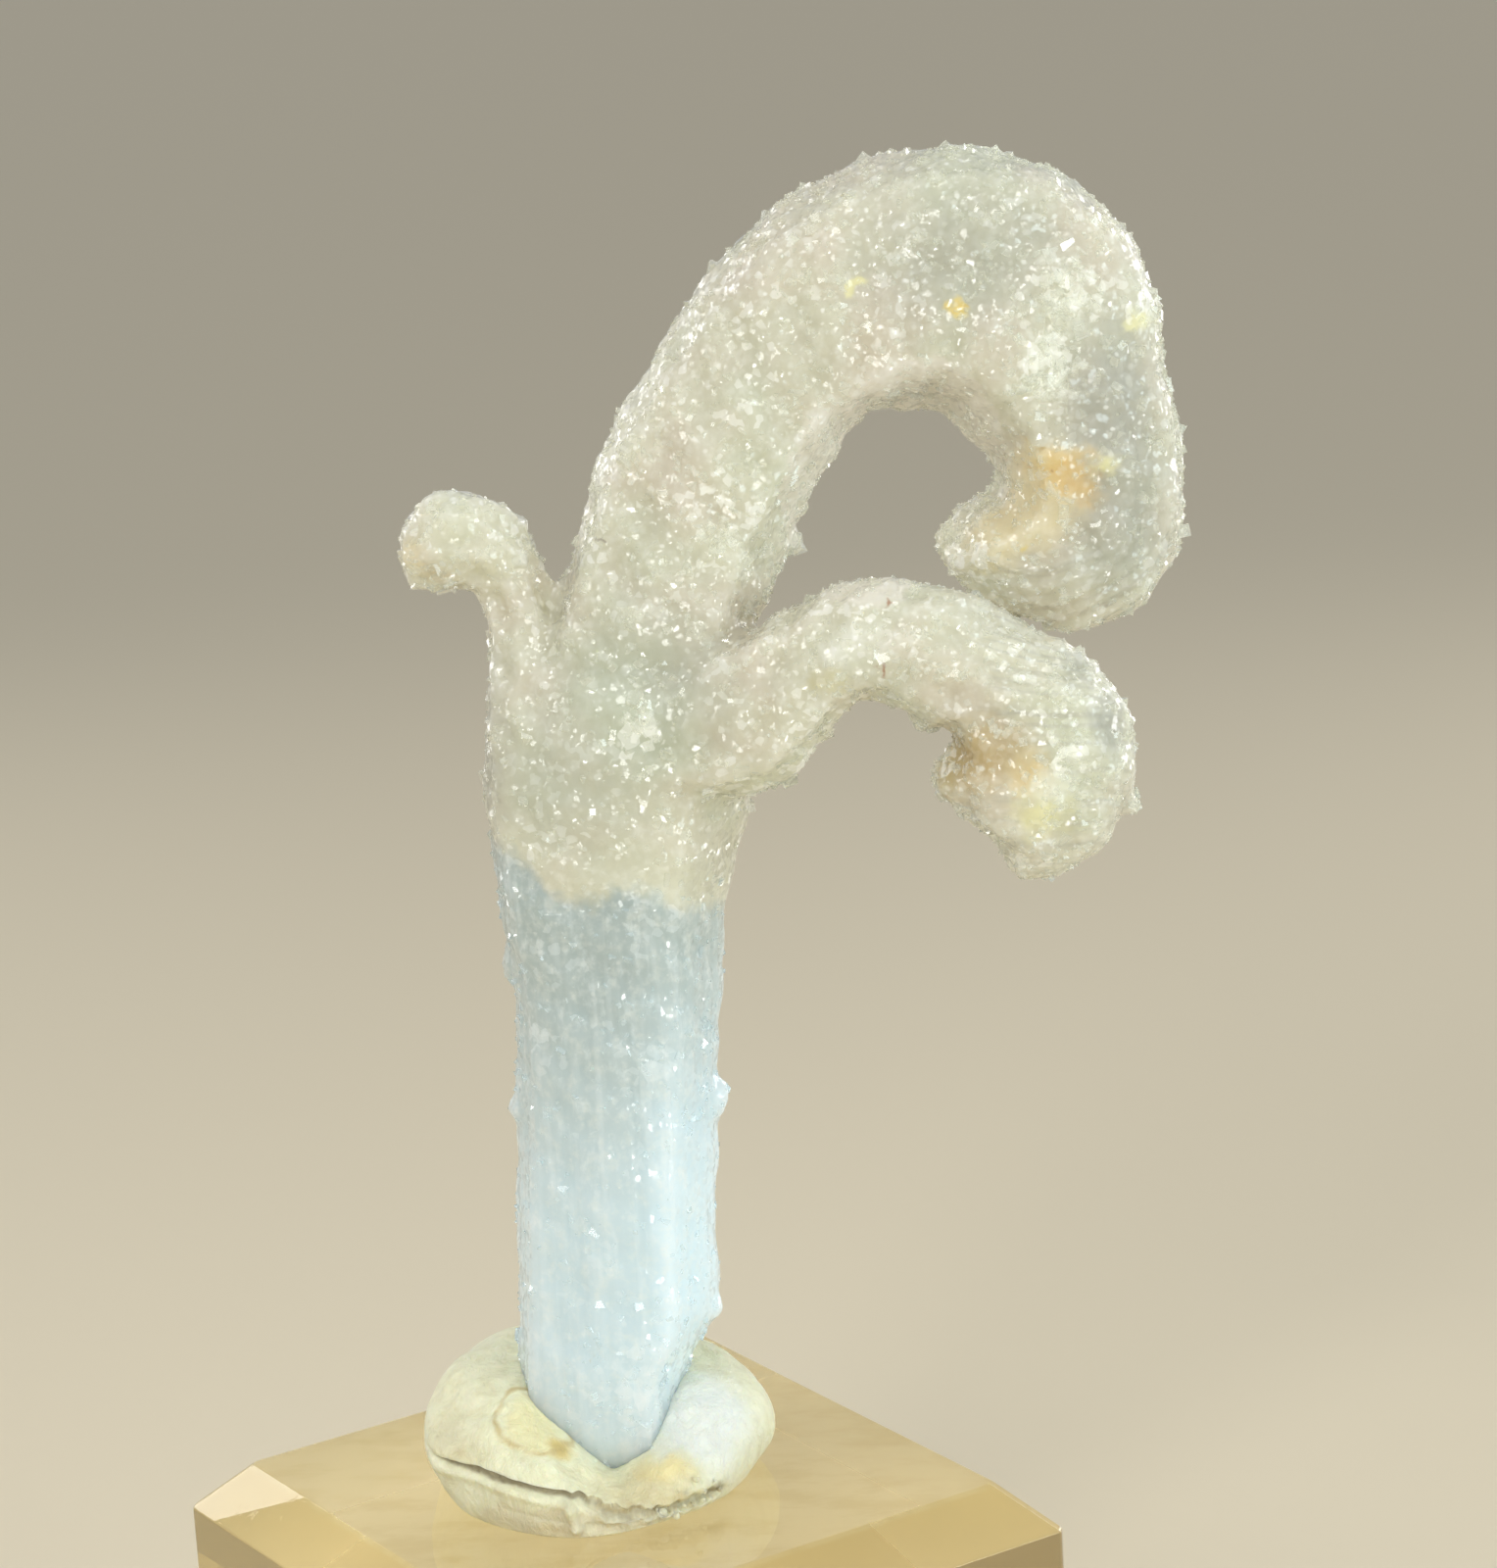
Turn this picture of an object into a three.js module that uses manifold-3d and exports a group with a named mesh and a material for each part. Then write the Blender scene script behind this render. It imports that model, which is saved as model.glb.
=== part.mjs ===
// Ram horn selenite specimen: three curled gypsum horns on one stem, set in putty on an acrylic block.
// Millimetres, +Z up, front towards -Y. The origin is the centre of the block's underside.
import * as THREE from 'three';
import { mergeVertices } from 'three/addons/utils/BufferGeometryUtils.js';
import Module from 'manifold-3d';

const wasm = await Module();
wasm.setup();

// Driving dimensions of the holder.
const BLOCK_SIDE = 38;
const BLOCK_THICKNESS = 19;
const BLOCK_BEVEL = 2.9;
const BLOCK_EDGE = 0.4;
const BLOCK_TURN = THREE.MathUtils.degToRad(33);
const PUTTY_CENTRE = [-1.1, 0];
const PUTTY_HALF_WIDTH = 9.9;
const PUTTY_HALF_DEPTH = 9.3;
const PUTTY_HEIGHT = 7.6;
const PUTTY_FRONT_HEIGHT = 3.0;

// Clear space between neighbouring pieces, and the fork cuts that part the horns from the stem.
const GAP = 0.3;
const POCKET_GAP = 0.45;
const FORK_NOTCH = [0.1, 72.9];
const SMALL_HORN_CUT_SLOPE = 0.33;
const MIDDLE_HORN_CUT_X = 13.6;
const FAR = 60;

// Relief of the crystal crust: height of its lumps, and the six long flats that ridges part from each other.
const LUMP_HEIGHT = 0.24;
const FLATS = 6;
const FLAT_DEPTH = 0.055;
const SECTION_POWER = 2.25;

// Sections from the foot up or from root to tip. a and b are the two outline points [x, z],
// y is the depth of the section's centre and deep is half its thickness along Y.
const STEM = [
  { a: [-3.4, 20.3], b: [3.9, 20.3], y: -0.4, deep: 4.8 },
  { a: [-4.9, 22.6], b: [4.5, 22.6], y: -0.3, deep: 5.6 },
  { a: [-5.3, 26.6], b: [5.0, 26.2], y: -0.2, deep: 5.8 },
  { a: [-5.1, 30.3], b: [6.7, 29.6], y: 0, deep: 5.9 },
  { a: [-4.7, 36.4], b: [7.0, 35.7], y: 0, deep: 5.8 },
  { a: [-4.2, 43.9], b: [7.6, 43.2], y: 0, deep: 5.9 },
  { a: [-4.1, 48.4], b: [7.9, 47.7], y: 0, deep: 6.0 },
  { a: [-4.6, 54.9], b: [8.6, 54.1], y: 0, deep: 6.3 },
  { a: [-5.1, 61.4], b: [10.3, 60.4], y: 0, deep: 6.5 },
  { a: [-4.5, 67.2], b: [11.5, 66.6], y: 0, deep: 6.3 },
  { a: [-4.1, 71.2], b: [12.0, 70.6], y: 0, deep: 6.0 },
];
const LARGE_HORN = [
  { a: [-1.0, 65.0], b: [10.2, 64.2], y: 0.2, deep: 6.0 },
  { a: [-0.6, 70.5], b: [11.5, 68.7], y: 0.3, deep: 6.1 },
  { a: [1.5, 76.9], b: [12.9, 72.5], y: 0.5, deep: 6.0 },
  { a: [3.4, 81.5], b: [14.8, 76.6], y: 0.8, deep: 6.1 },
  { a: [6.4, 86.3], b: [16.7, 79.7], y: 1.0, deep: 6.2 },
  { a: [10.3, 90.9], b: [18.5, 81.4], y: 1.2, deep: 6.4 },
  { a: [15.7, 94.8], b: [20.0, 81.8], y: 1.3, deep: 6.7 },
  { a: [22.1, 96.4], b: [21.7, 81.7], y: 1.3, deep: 6.9 },
  { a: [28.5, 94.4], b: [23.0, 81.0], y: 1.3, deep: 6.9 },
  { a: [33.0, 90.3], b: [23.8, 79.7], y: 1.2, deep: 6.6 },
  { a: [35.2, 83.6], b: [24.6, 78.8], y: 1.1, deep: 6.2 },
  { a: [35.9, 77.7], b: [25.2, 77.5], y: 1.0, deep: 5.9 },
  { a: [35.1, 73.0], b: [24.7, 76.9], y: 0.9, deep: 5.6 },
  { a: [32.8, 69.8], b: [23.6, 76.6], y: 0.8, deep: 5.2 },
  { a: [29.4, 68.6], b: [22.6, 75.6], y: 0.7, deep: 4.5 },
  { a: [26.2, 69.5], b: [22.0, 74.3], y: 0.6, deep: 3.4 },
];
const MIDDLE_HORN = [
  { a: [3.4, 67.4], b: [4.4, 61.6], y: -2.8, deep: 3.0 },
  { a: [6.5, 68.7], b: [7.7, 60.6], y: -3.5, deep: 3.4 },
  { a: [10.5, 70.9], b: [12.0, 62.4], y: -4.4, deep: 3.5 },
  { a: [15.5, 73.2], b: [16.1, 66.2], y: -5.6, deep: 3.5 },
  { a: [18.5, 73.6], b: [18.4, 66.5], y: -6.3, deep: 3.6 },
  { a: [22.2, 73.0], b: [20.2, 65.4], y: -6.8, deep: 3.7 },
  { a: [26.7, 70.8], b: [21.5, 65.0], y: -7.2, deep: 3.8 },
  { a: [30.4, 68.1], b: [21.8, 63.7], y: -7.3, deep: 4.0 },
  { a: [32.0, 64.4], b: [21.2, 62.7], y: -7.2, deep: 4.2 },
  { a: [32.0, 61.3], b: [21.8, 60.4], y: -7.0, deep: 4.2 },
  { a: [30.3, 57.9], b: [23.7, 58.8], y: -6.8, deep: 3.6 },
  { a: [28.3, 56.6], b: [24.4, 56.9], y: -6.6, deep: 2.6 },
];
const SMALL_HORN = [
  { a: [-4.9, 62.0], b: [-0.7, 62.0], y: 0.4, deep: 2.6 },
  { a: [-4.4, 67.3], b: [-0.6, 67.1], y: 0.5, deep: 2.7 },
  { a: [-4.3, 71.6], b: [-0.4, 72.5], y: 0.5, deep: 2.6 },
  { a: [-4.6, 73.0], b: [-1.1, 75.3], y: 0.5, deep: 2.6 },
  { a: [-5.0, 73.1], b: [-2.4, 77.7], y: 0.5, deep: 2.7 },
  { a: [-5.9, 73.0], b: [-4.5, 78.7], y: 0.5, deep: 2.8 },
  { a: [-7.2, 72.9], b: [-6.7, 78.7], y: 0.5, deep: 2.7 },
  { a: [-8.2, 73.7], b: [-8.3, 77.2], y: 0.5, deep: 2.0 },
];

// Single crystals and ledges that stand out of the crust: centre, size along X, Y, Z, and turn in degrees.
const STEM_CRYSTALS = [
  { at: [-4.4, -0.5, 50.6], size: [1.6, 2.4, 3.6], turn: 12 },
  { at: [-4.3, -0.8, 42.4], size: [1.2, 1.8, 1.6], turn: 30 },
  { at: [7.4, -0.6, 42.2], size: [1.4, 2.2, 2.6], turn: 20 },
  { at: [6.3, -0.5, 29.4], size: [1.4, 2.4, 1.8], turn: 35 },
  { at: [3.9, -5.7, 66.2], size: [2.2, 1.6, 1.8], turn: 25 },
  { at: [2.3, -5.8, 64.6], size: [1.6, 1.6, 1.4], turn: 50 },
  { at: [4.6, -5.7, 62.9], size: [1.7, 1.6, 1.5], turn: 10 },
  { at: [3.4, -5.3, 71.3], size: [1.5, 1.6, 1.3], turn: 40 },
  { at: [0.4, -5.3, 48.5], size: [1.8, 1.4, 1.2], turn: 15 },
  { at: [5.0, -4.7, 45.0], size: [1.6, 1.4, 2.0], turn: 65 },
  { at: [11.6, -2.6, 62.2], size: [1.8, 1.8, 1.6], turn: 20 },
  { at: [1.5, 5.8, 57.0], size: [2.0, 1.6, 2.2], turn: 30 },
  { at: [4.2, 4.9, 38.0], size: [1.6, 1.6, 2.4], turn: 55 },
];
const LARGE_HORN_CRYSTALS = [
  { at: [34.0, 0.9, 86.6], size: [1.8, 3.0, 2.2], turn: 18 },
  { at: [13.4, 0.5, 74.7], size: [1.5, 1.8, 1.5], turn: 32 },
  { at: [22.1, 0.4, 74.4], size: [1.3, 1.5, 1.4], turn: 45 },
  { at: [29.4, -4.7, 88.6], size: [3.2, 1.8, 2.2], turn: 20 },
  { at: [28.2, -5.0, 84.6], size: [2.6, 1.6, 2.0], turn: 38 },
  { at: [26.4, -5.2, 87.2], size: [2.0, 1.6, 1.6], turn: 62 },
  { at: [10.0, -5.2, 79.0], size: [1.7, 1.1, 1.7], turn: 25 },
  { at: [13.6, -5.2, 84.8], size: [1.5, 1.1, 1.7], turn: 48 },
  { at: [18.4, 8.0, 90.0], size: [2.2, 1.2, 1.8], turn: 15 },
  { at: [30.4, 6.9, 82.0], size: [1.8, 1.2, 2.2], turn: 40 },
];
const MIDDLE_HORN_CRYSTALS = [
  { at: [20.2, -6.9, 65.5], size: [1.6, 1.6, 1.4], turn: 40 },
  { at: [14.6, -5.2, 64.9], size: [1.4, 1.8, 1.4], turn: 20 },
  { at: [31.3, -7.0, 60.2], size: [1.6, 1.8, 1.6], turn: 22 },
  { at: [26.6, -10.9, 64.6], size: [2.0, 1.1, 1.8], turn: 35 },
  { at: [29.2, -10.6, 61.4], size: [1.6, 1.1, 1.8], turn: 58 },
];
const SMALL_HORN_CRYSTALS = [
  { at: [-1.8, 0.3, 76.7], size: [1.2, 1.4, 1.1], turn: 30 },
  { at: [-8.0, 0.2, 73.7], size: [1.3, 1.6, 1.1], turn: 15 },
];

const CRUST = new THREE.MeshStandardMaterial({ color: 0xccc9bd, roughness: 0.55, metalness: 0 });
const PUTTY = new THREE.MeshStandardMaterial({ color: 0xdfd6b3, roughness: 0.7, metalness: 0 });
const ACRYLIC = new THREE.MeshStandardMaterial({ color: 0xe6dcc4, roughness: 0.05, metalness: 0 });

// Closed skin over a stack of rings that all have the same number of points.
// The first and last rings are closed by fans from their middles.
function skinRings(rings) {
  const count = rings[0].length;
  const positions = [];
  const index = [];
  for (const ring of rings) {
    for (const point of ring) positions.push(point.x, point.y, point.z);
  }
  for (let row = 0; row < rings.length - 1; row += 1) {
    for (let i = 0; i < count; i += 1) {
      const next = (i + 1) % count;
      const low = row * count;
      const high = low + count;
      index.push(low + i, low + next, high + next);
      index.push(low + i, high + next, high + i);
    }
  }
  closeEnd(rings[0], 0, true, positions, index);
  closeEnd(rings[rings.length - 1], (rings.length - 1) * count, false, positions, index);
  const geometry = new THREE.BufferGeometry();
  geometry.setAttribute('position', new THREE.Float32BufferAttribute(positions, 3));
  geometry.setIndex(index);
  return geometry;
}

function closeEnd(ring, start, reversed, positions, index) {
  const middle = new THREE.Vector3();
  for (const point of ring) middle.add(point);
  middle.divideScalar(ring.length);
  const hub = positions.length / 3;
  positions.push(middle.x, middle.y, middle.z);
  for (let i = 0; i < ring.length; i += 1) {
    const next = (i + 1) % ring.length;
    if (reversed) index.push(start + next, start + i, hub);
    else index.push(start + i, start + next, hub);
  }
}

function toManifold(geometry) {
  const bare = geometry.clone();
  bare.deleteAttribute('normal');
  bare.deleteAttribute('uv');
  const merged = mergeVertices(bare, 1e-4);
  return new wasm.Manifold(new wasm.Mesh({
    numProp: 3,
    vertProperties: new Float32Array(merged.attributes.position.array),
    triVerts: new Uint32Array(merged.index.array),
  }));
}

function toGeometry(manifold) {
  const mesh = manifold.getMesh();
  const geometry = new THREE.BufferGeometry();
  geometry.setAttribute('position', new THREE.Float32BufferAttribute(mesh.vertProperties, mesh.numProp));
  geometry.setIndex(new THREE.BufferAttribute(mesh.triVerts, 1));
  return geometry;
}

// Radius that stays close to 1: flats between ridges along the growth, with lumps and pits on them.
function relief(along, angle, scale) {
  const sector = (2 * Math.PI) / FLATS;
  const fromMiddle = (angle % sector) - sector / 2;
  const sag = (1 - Math.cos(sector / 2) / Math.cos(fromMiddle)) / (1 - Math.cos(sector / 2));
  const ribs = 0.5 * Math.sin(5 * angle + 0.21 * along) + 0.4 * Math.sin(9 * angle - 0.13 * along);
  const knobs = Math.sin(1.25 * along + 2 * angle) * Math.sin(3 * angle + 0.6 * along);
  return 1 - FLAT_DEPTH * (sag - 0.35) + (LUMP_HEIGHT * (ribs + knobs)) / scale;
}

// A horn or the stem: rings between the two outlines of its sections, with a rounded end at each tip.
function growHorn(sections, sides, rows, rounded) {
  const edgeA = curveThrough(sections.map((s) => [s.a[0], s.y, s.a[1]]));
  const edgeB = curveThrough(sections.map((s) => [s.b[0], s.y, s.b[1]]));
  const depths = curveThrough(sections.map((s) => [s.deep, 0, 0]));
  const rings = [];
  let along = 0;
  let last = null;
  for (let row = 0; row <= rows; row += 1) {
    const t = row / rows;
    const a = edgeA.getPoint(t);
    const b = edgeB.getPoint(t);
    const centre = a.clone().add(b).multiplyScalar(0.5);
    along += last ? centre.distanceTo(last) : 0;
    last = centre;
    rings.push(sectionRing(centre, b.sub(centre), depths.getPoint(t).x, along, sides));
  }
  if (rounded) rings.push(...roundedTip(rings));
  return toManifold(orientOut(skinRings(rings)));
}

function curveThrough(points) {
  return new THREE.CatmullRomCurve3(points.map((p) => new THREE.Vector3(...p)), false, 'catmullrom', 0.5);
}

function sectionRing(centre, half, deep, along, sides) {
  const ring = [];
  const scale = 0.5 * (half.length() + deep);
  for (let i = 0; i < sides; i += 1) {
    const angle = (2 * Math.PI * i) / sides;
    const radius = relief(along, angle, scale);
    const across = flattened(Math.cos(angle)) * radius;
    const depth = flattened(Math.sin(angle)) * radius * deep;
    ring.push(centre.clone().addScaledVector(half, across).add(new THREE.Vector3(0, depth, 0)));
  }
  return ring;
}

function flattened(value) {
  return Math.sign(value) * Math.abs(value) ** (2 / SECTION_POWER);
}

// Three shrinking rings past the last section close a tip like a thumb.
function roundedTip(rings) {
  const end = rings[rings.length - 1];
  const before = rings[rings.length - 2];
  const middleOf = (ring) => ring.reduce((sum, p) => sum.add(p), new THREE.Vector3()).divideScalar(ring.length);
  const middle = middleOf(end);
  const forward = middle.clone().sub(middleOf(before)).normalize();
  const reach = 0.45 * middle.distanceTo(end[0]);
  return [30, 58, 78].map((degrees) => {
    const angle = THREE.MathUtils.degToRad(degrees);
    return end.map((point) => point.clone().sub(middle).multiplyScalar(Math.cos(angle))
      .add(middle).addScaledVector(forward, reach * Math.sin(angle)));
  });
}

// Faces of a closed mesh are turned to point out where its signed volume comes out negative.
function orientOut(geometry) {
  const position = geometry.attributes.position;
  const index = geometry.index.array;
  const corner = (i) => new THREE.Vector3().fromBufferAttribute(position, index[i]);
  let volume = 0;
  for (let i = 0; i < index.length; i += 3) volume += corner(i).dot(corner(i + 1).cross(corner(i + 2)));
  if (volume > 0) return geometry;
  for (let i = 0; i < index.length; i += 3) [index[i], index[i + 1]] = [index[i + 1], index[i]];
  return geometry;
}

// A short gypsum blade with slanted ends.
function crystal({ at, size, turn }) {
  const [width, depth, height] = size.map((value) => value / 2);
  const outline = [[-1, -0.5], [-0.4, -1], [1, -0.7], [1, 0.5], [0.4, 1], [-1, 0.7]];
  const ringAt = (y, shrink) => outline.map(([x, z]) => new THREE.Vector3(x * width * shrink, y, z * height * shrink));
  const rings = [ringAt(-depth, 0.55), ringAt(-0.4 * depth, 1), ringAt(0.4 * depth, 1), ringAt(depth, 0.55)];
  const geometry = orientOut(skinRings(rings));
  const angle = THREE.MathUtils.degToRad(turn);
  geometry.applyMatrix4(new THREE.Matrix4().makeRotationFromEuler(new THREE.Euler(0.3 * angle, angle, 0.5 * angle)));
  geometry.translate(...at);
  return toManifold(geometry);
}

function withCrystals(solid, crystals) {
  return crystals.reduce((sum, item) => sum.add(crystal(item)), solid);
}

// Space below the fork cuts, where everything belongs to the stem. It is grown or shrunk by margin.
function forkRegion(margin) {
  const [notchX, notchZ] = FORK_NOTCH;
  const slopeMargin = margin * Math.hypot(1, SMALL_HORN_CUT_SLOPE);
  const apexX = notchX + (margin - slopeMargin) / SMALL_HORN_CUT_SLOPE;
  const corners = [
    [-FAR, notchZ + slopeMargin - SMALL_HORN_CUT_SLOPE * (FAR + notchX)],
    [-FAR, -FAR],
    [MIDDLE_HORN_CUT_X + margin, -FAR],
    [MIDDLE_HORN_CUT_X + margin, notchZ + margin],
    [apexX, notchZ + margin],
  ];
  const rings = [-FAR, FAR].map((y) => corners.map(([x, z]) => new THREE.Vector3(x, y, z)));
  return toManifold(orientOut(skinRings(rings)));
}

// The stem and the roots of all three horns, grown together up to the forks.
function stemSolid(horns) {
  const trunk = horns.reduce((sum, horn) => sum.add(horn), growHorn(STEM, 24, 28, false));
  return withCrystals(trunk, STEM_CRYSTALS).intersect(forkRegion(-GAP / 2));
}

function hornSolid(horn, crystals) {
  return withCrystals(horn, crystals).subtract(forkRegion(GAP / 2));
}

// Height of the putty around the stem: pulled up behind and at the sides, pressed low in front.
function puttyRise(angle) {
  const fromFront = Math.abs(Math.atan2(Math.sin(angle + Math.PI / 2), Math.cos(angle + Math.PI / 2)));
  const low = Math.exp(-((fromFront / 0.75) ** 2));
  const tilt = 0.5 * Math.cos(angle);
  return (PUTTY_HEIGHT - tilt) * (1 - low) + PUTTY_FRONT_HEIGHT * low;
}

// Hand-shaped lump: flat where it sticks to the block, bulging over it, with a soft shoulder.
function puttyLump() {
  const sides = 40;
  const profile = [[0.86, 0], [0.94, 0.14], [0.99, 0.3], [1, 0.46], [0.97, 0.64], [0.9, 0.8], [0.79, 0.93],
    [0.66, 1], [0.4, 1.02]];
  const rings = profile.map(([reach, rise]) => {
    const ring = [];
    for (let i = 0; i < sides; i += 1) {
      const angle = (2 * Math.PI * i) / sides;
      const dent = 1 + 0.015 * Math.sin(3 * angle + 1) + 0.01 * Math.sin(7 * angle + 5 * rise);
      const x = PUTTY_CENTRE[0] + PUTTY_HALF_WIDTH * reach * dent * Math.cos(angle);
      const y = PUTTY_CENTRE[1] + PUTTY_HALF_DEPTH * reach * dent * Math.sin(angle);
      ring.push(new THREE.Vector3(x, y, BLOCK_THICKNESS + rise * puttyRise(angle)));
    }
    return ring;
  });
  return toManifold(orientOut(skinRings(rings)));
}

// The pocket in the putty follows the stem's foot, a little wider all round.
function footPocket() {
  const pocket = STEM.slice(0, 5).map(({ a, b, y, deep }, row) => ({
    a: [a[0] - POCKET_GAP, a[1] - (row ? 0 : POCKET_GAP)],
    b: [b[0] + POCKET_GAP, b[1] - (row ? 0 : POCKET_GAP)],
    y,
    deep: deep + POCKET_GAP,
  }));
  return growHorn(pocket, 24, 11, false);
}

function blockSolid() {
  const level = (z, inset, corner) => {
    const half = BLOCK_SIDE / 2 - inset;
    const ring = [];
    for (let quarter = 0; quarter < 4; quarter += 1) {
      const turn = BLOCK_TURN + (quarter * Math.PI) / 2;
      for (const [x, y] of [[half, -half + corner], [half, half - corner]]) {
        ring.push(new THREE.Vector3(x, y, z).applyAxisAngle(new THREE.Vector3(0, 0, 1), turn));
      }
    }
    return ring;
  };
  const rings = [
    level(0, BLOCK_EDGE, BLOCK_EDGE),
    level(BLOCK_EDGE, 0, BLOCK_EDGE),
    level(BLOCK_THICKNESS - BLOCK_BEVEL, 0, BLOCK_EDGE),
    level(BLOCK_THICKNESS, BLOCK_BEVEL, BLOCK_EDGE),
  ];
  return orientOut(skinRings(rings));
}

function piece(name, geometry, material) {
  const mesh = new THREE.Mesh(geometry, material);
  mesh.name = name;
  return mesh;
}

const largeHorn = growHorn(LARGE_HORN, 24, 38, true);
const middleHorn = growHorn(MIDDLE_HORN, 18, 30, true);
const smallHorn = growHorn(SMALL_HORN, 12, 18, true);

const specimen = new THREE.Group();
specimen.add(piece('acrylic_block', blockSolid(), ACRYLIC));
specimen.add(piece('mounting_putty', toGeometry(puttyLump().subtract(footPocket())), PUTTY));
specimen.add(piece('stem', toGeometry(stemSolid([largeHorn, middleHorn, smallHorn])), CRUST));
specimen.add(piece('large_horn', toGeometry(hornSolid(largeHorn, LARGE_HORN_CRYSTALS)), CRUST));
specimen.add(piece('middle_horn', toGeometry(hornSolid(middleHorn, MIDDLE_HORN_CRYSTALS)), CRUST));
specimen.add(piece('small_horn', toGeometry(hornSolid(smallHorn, SMALL_HORN_CRYSTALS)), CRUST));

export default specimen;
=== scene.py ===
import math

import bpy
import numpy as np
from mathutils import Matrix, Vector, noise


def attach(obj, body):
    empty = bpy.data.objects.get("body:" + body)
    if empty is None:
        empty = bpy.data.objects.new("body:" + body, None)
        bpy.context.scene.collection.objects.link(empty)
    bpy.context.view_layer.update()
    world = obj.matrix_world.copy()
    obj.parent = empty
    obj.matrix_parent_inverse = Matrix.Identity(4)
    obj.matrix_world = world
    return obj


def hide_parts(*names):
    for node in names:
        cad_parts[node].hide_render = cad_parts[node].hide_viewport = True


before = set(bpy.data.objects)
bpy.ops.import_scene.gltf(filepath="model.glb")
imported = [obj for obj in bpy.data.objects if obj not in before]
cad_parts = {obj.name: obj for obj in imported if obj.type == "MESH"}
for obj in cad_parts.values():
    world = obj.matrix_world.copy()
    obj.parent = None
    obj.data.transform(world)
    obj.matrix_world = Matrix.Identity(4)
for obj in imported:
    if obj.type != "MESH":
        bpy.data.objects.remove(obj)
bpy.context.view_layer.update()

# ---- sizes, in millimetres unless named otherwise
MM = 0.001
BLOCK_TOP = 19.0

# The photograph's view: focal length and frame in pixels, angles in degrees.
FOCAL_PX = 4750.0
FRAME_LONG_PX = 1600.0
SENSOR_MM = 36.0
CAMERA_PITCH = 14.5
CAMERA_ROLL = -3.3
CAMERA_TARGET = (10.2, 0.0, 60.75)
CAMERA_DISTANCE = 266.5

# Sections of the crystal, as in the CAD: x and z of outline point a, x and z of b, middle y and half depth.
STEM = [
    (-3.4, 20.3, 3.9, 20.3, -0.4, 4.8), (-4.9, 22.6, 4.5, 22.6, -0.3, 5.6),
    (-5.3, 26.6, 5, 26.2, -0.2, 5.8), (-5.1, 30.3, 6.7, 29.6, 0, 5.9),
    (-4.7, 36.4, 7, 35.7, 0, 5.8), (-4.2, 43.9, 7.6, 43.2, 0, 5.9),
    (-4.1, 48.4, 7.9, 47.7, 0, 6), (-4.6, 54.9, 8.6, 54.1, 0, 6.3),
    (-5.1, 61.4, 10.3, 60.4, 0, 6.5), (-4.1, 65.6, 11.3, 65, 0, 6.3),
    (-2.6, 68.4, 11.4, 67.8, 0, 5.8), (-0.2, 70.8, 10.6, 70.2, 0, 4.6),
]
LARGE_HORN = [
    (-1, 65, 10.2, 64.2, 0.2, 6), (-0.5, 70.5, 11, 68.9, 0.3, 6.1),
    (1.6, 76.8, 12.5, 72.7, 0.5, 6), (3.6, 81.4, 14.5, 76.8, 0.8, 6.1),
    (6.6, 86.1, 16.5, 79.9, 1, 6.2), (10.4, 90.7, 18.4, 81.6, 1.2, 6.4),
    (15.7, 94.8, 20, 81.8, 1.3, 6.7), (22.1, 96.4, 21.7, 81.7, 1.3, 6.9),
    (29, 95, 23, 81, 1.3, 6.9), (33.5, 90.7, 23.9, 79.8, 1.2, 6.6),
    (34.9, 83.6, 24.8, 78.8, 1.1, 6.2), (35.9, 77.7, 25.2, 77.5, 1, 5.9),
    (35.1, 73, 24.7, 76.9, 0.9, 5.6), (32.8, 69.8, 23.6, 76.6, 0.8, 5.2),
    (29.4, 68.6, 22.6, 75.6, 0.7, 4.5), (26.2, 69.5, 22, 74.3, 0.6, 3.4),
]
MIDDLE_HORN = [
    (3.4, 67.4, 4.4, 61.6, -2.8, 3), (6.5, 68.7, 7.7, 60.6, -3.5, 3.4),
    (10.5, 70.9, 12.2, 61.9, -4.4, 3.5), (15.5, 73.2, 16.1, 66.2, -5.6, 3.5),
    (18.5, 73.6, 18.4, 66.5, -6.3, 3.6), (22.2, 73, 20.2, 65.4, -6.8, 3.7),
    (26.5, 70.5, 21.2, 65.2, -7.2, 3.8), (30.1, 67.9, 21.4, 63.9, -7.3, 4),
    (31.9, 64.4, 21, 62.6, -7.2, 4.2), (31.8, 61.4, 21.7, 60.3, -7, 4.2),
    (30.1, 58.2, 23.4, 58.6, -6.8, 3.6), (28.2, 56.8, 24.2, 57, -6.6, 2.6),
]
SMALL_HORN = [
    (-4.9, 60, 1.5, 60, 0.1, 5.4), (-4.6, 65, 0.9, 64.8, 0.2, 5.2),
    (-4.3, 69.3, 0.3, 69.4, 0.4, 3.9), (-4.3, 71.8, -0.1, 72.9, 0.5, 2.9),
    (-4.6, 73, -0.8, 75.4, 0.5, 2.6), (-5, 73.1, -2.4, 77.7, 0.5, 2.7),
    (-5.9, 73, -4.5, 78.7, 0.5, 2.8), (-7.2, 72.9, -6.7, 78.7, 0.5, 2.7),
    (-8.2, 73.7, -8.3, 77.2, 0.5, 2),
]
# Each branch's loft: sections, points around, rows, rounded tip, and the calm and flats of grow_horn.
LOFTS = {
    "stem": (STEM, 120, 160, False, (0.25, 0.8), (1.7, 1.1)),
    "large_horn": (LARGE_HORN, 120, 200, True, (0.8, 0.9), (1.2, 1.7)),
    "middle_horn": (MIDDLE_HORN, 72, 140, True),
    "small_horn": (SMALL_HORN, 56, 90, True),
}
LUMP_HEIGHT = 0.24
# Angles of the long ridges round a section, in degrees: 0 at point b, 270 at the front.
RIDGES = (0, 60, 120, 180, 215, 300, 360)
FLAT_DEPTH = 0.055
SECTION_POWER = 2.25

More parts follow.
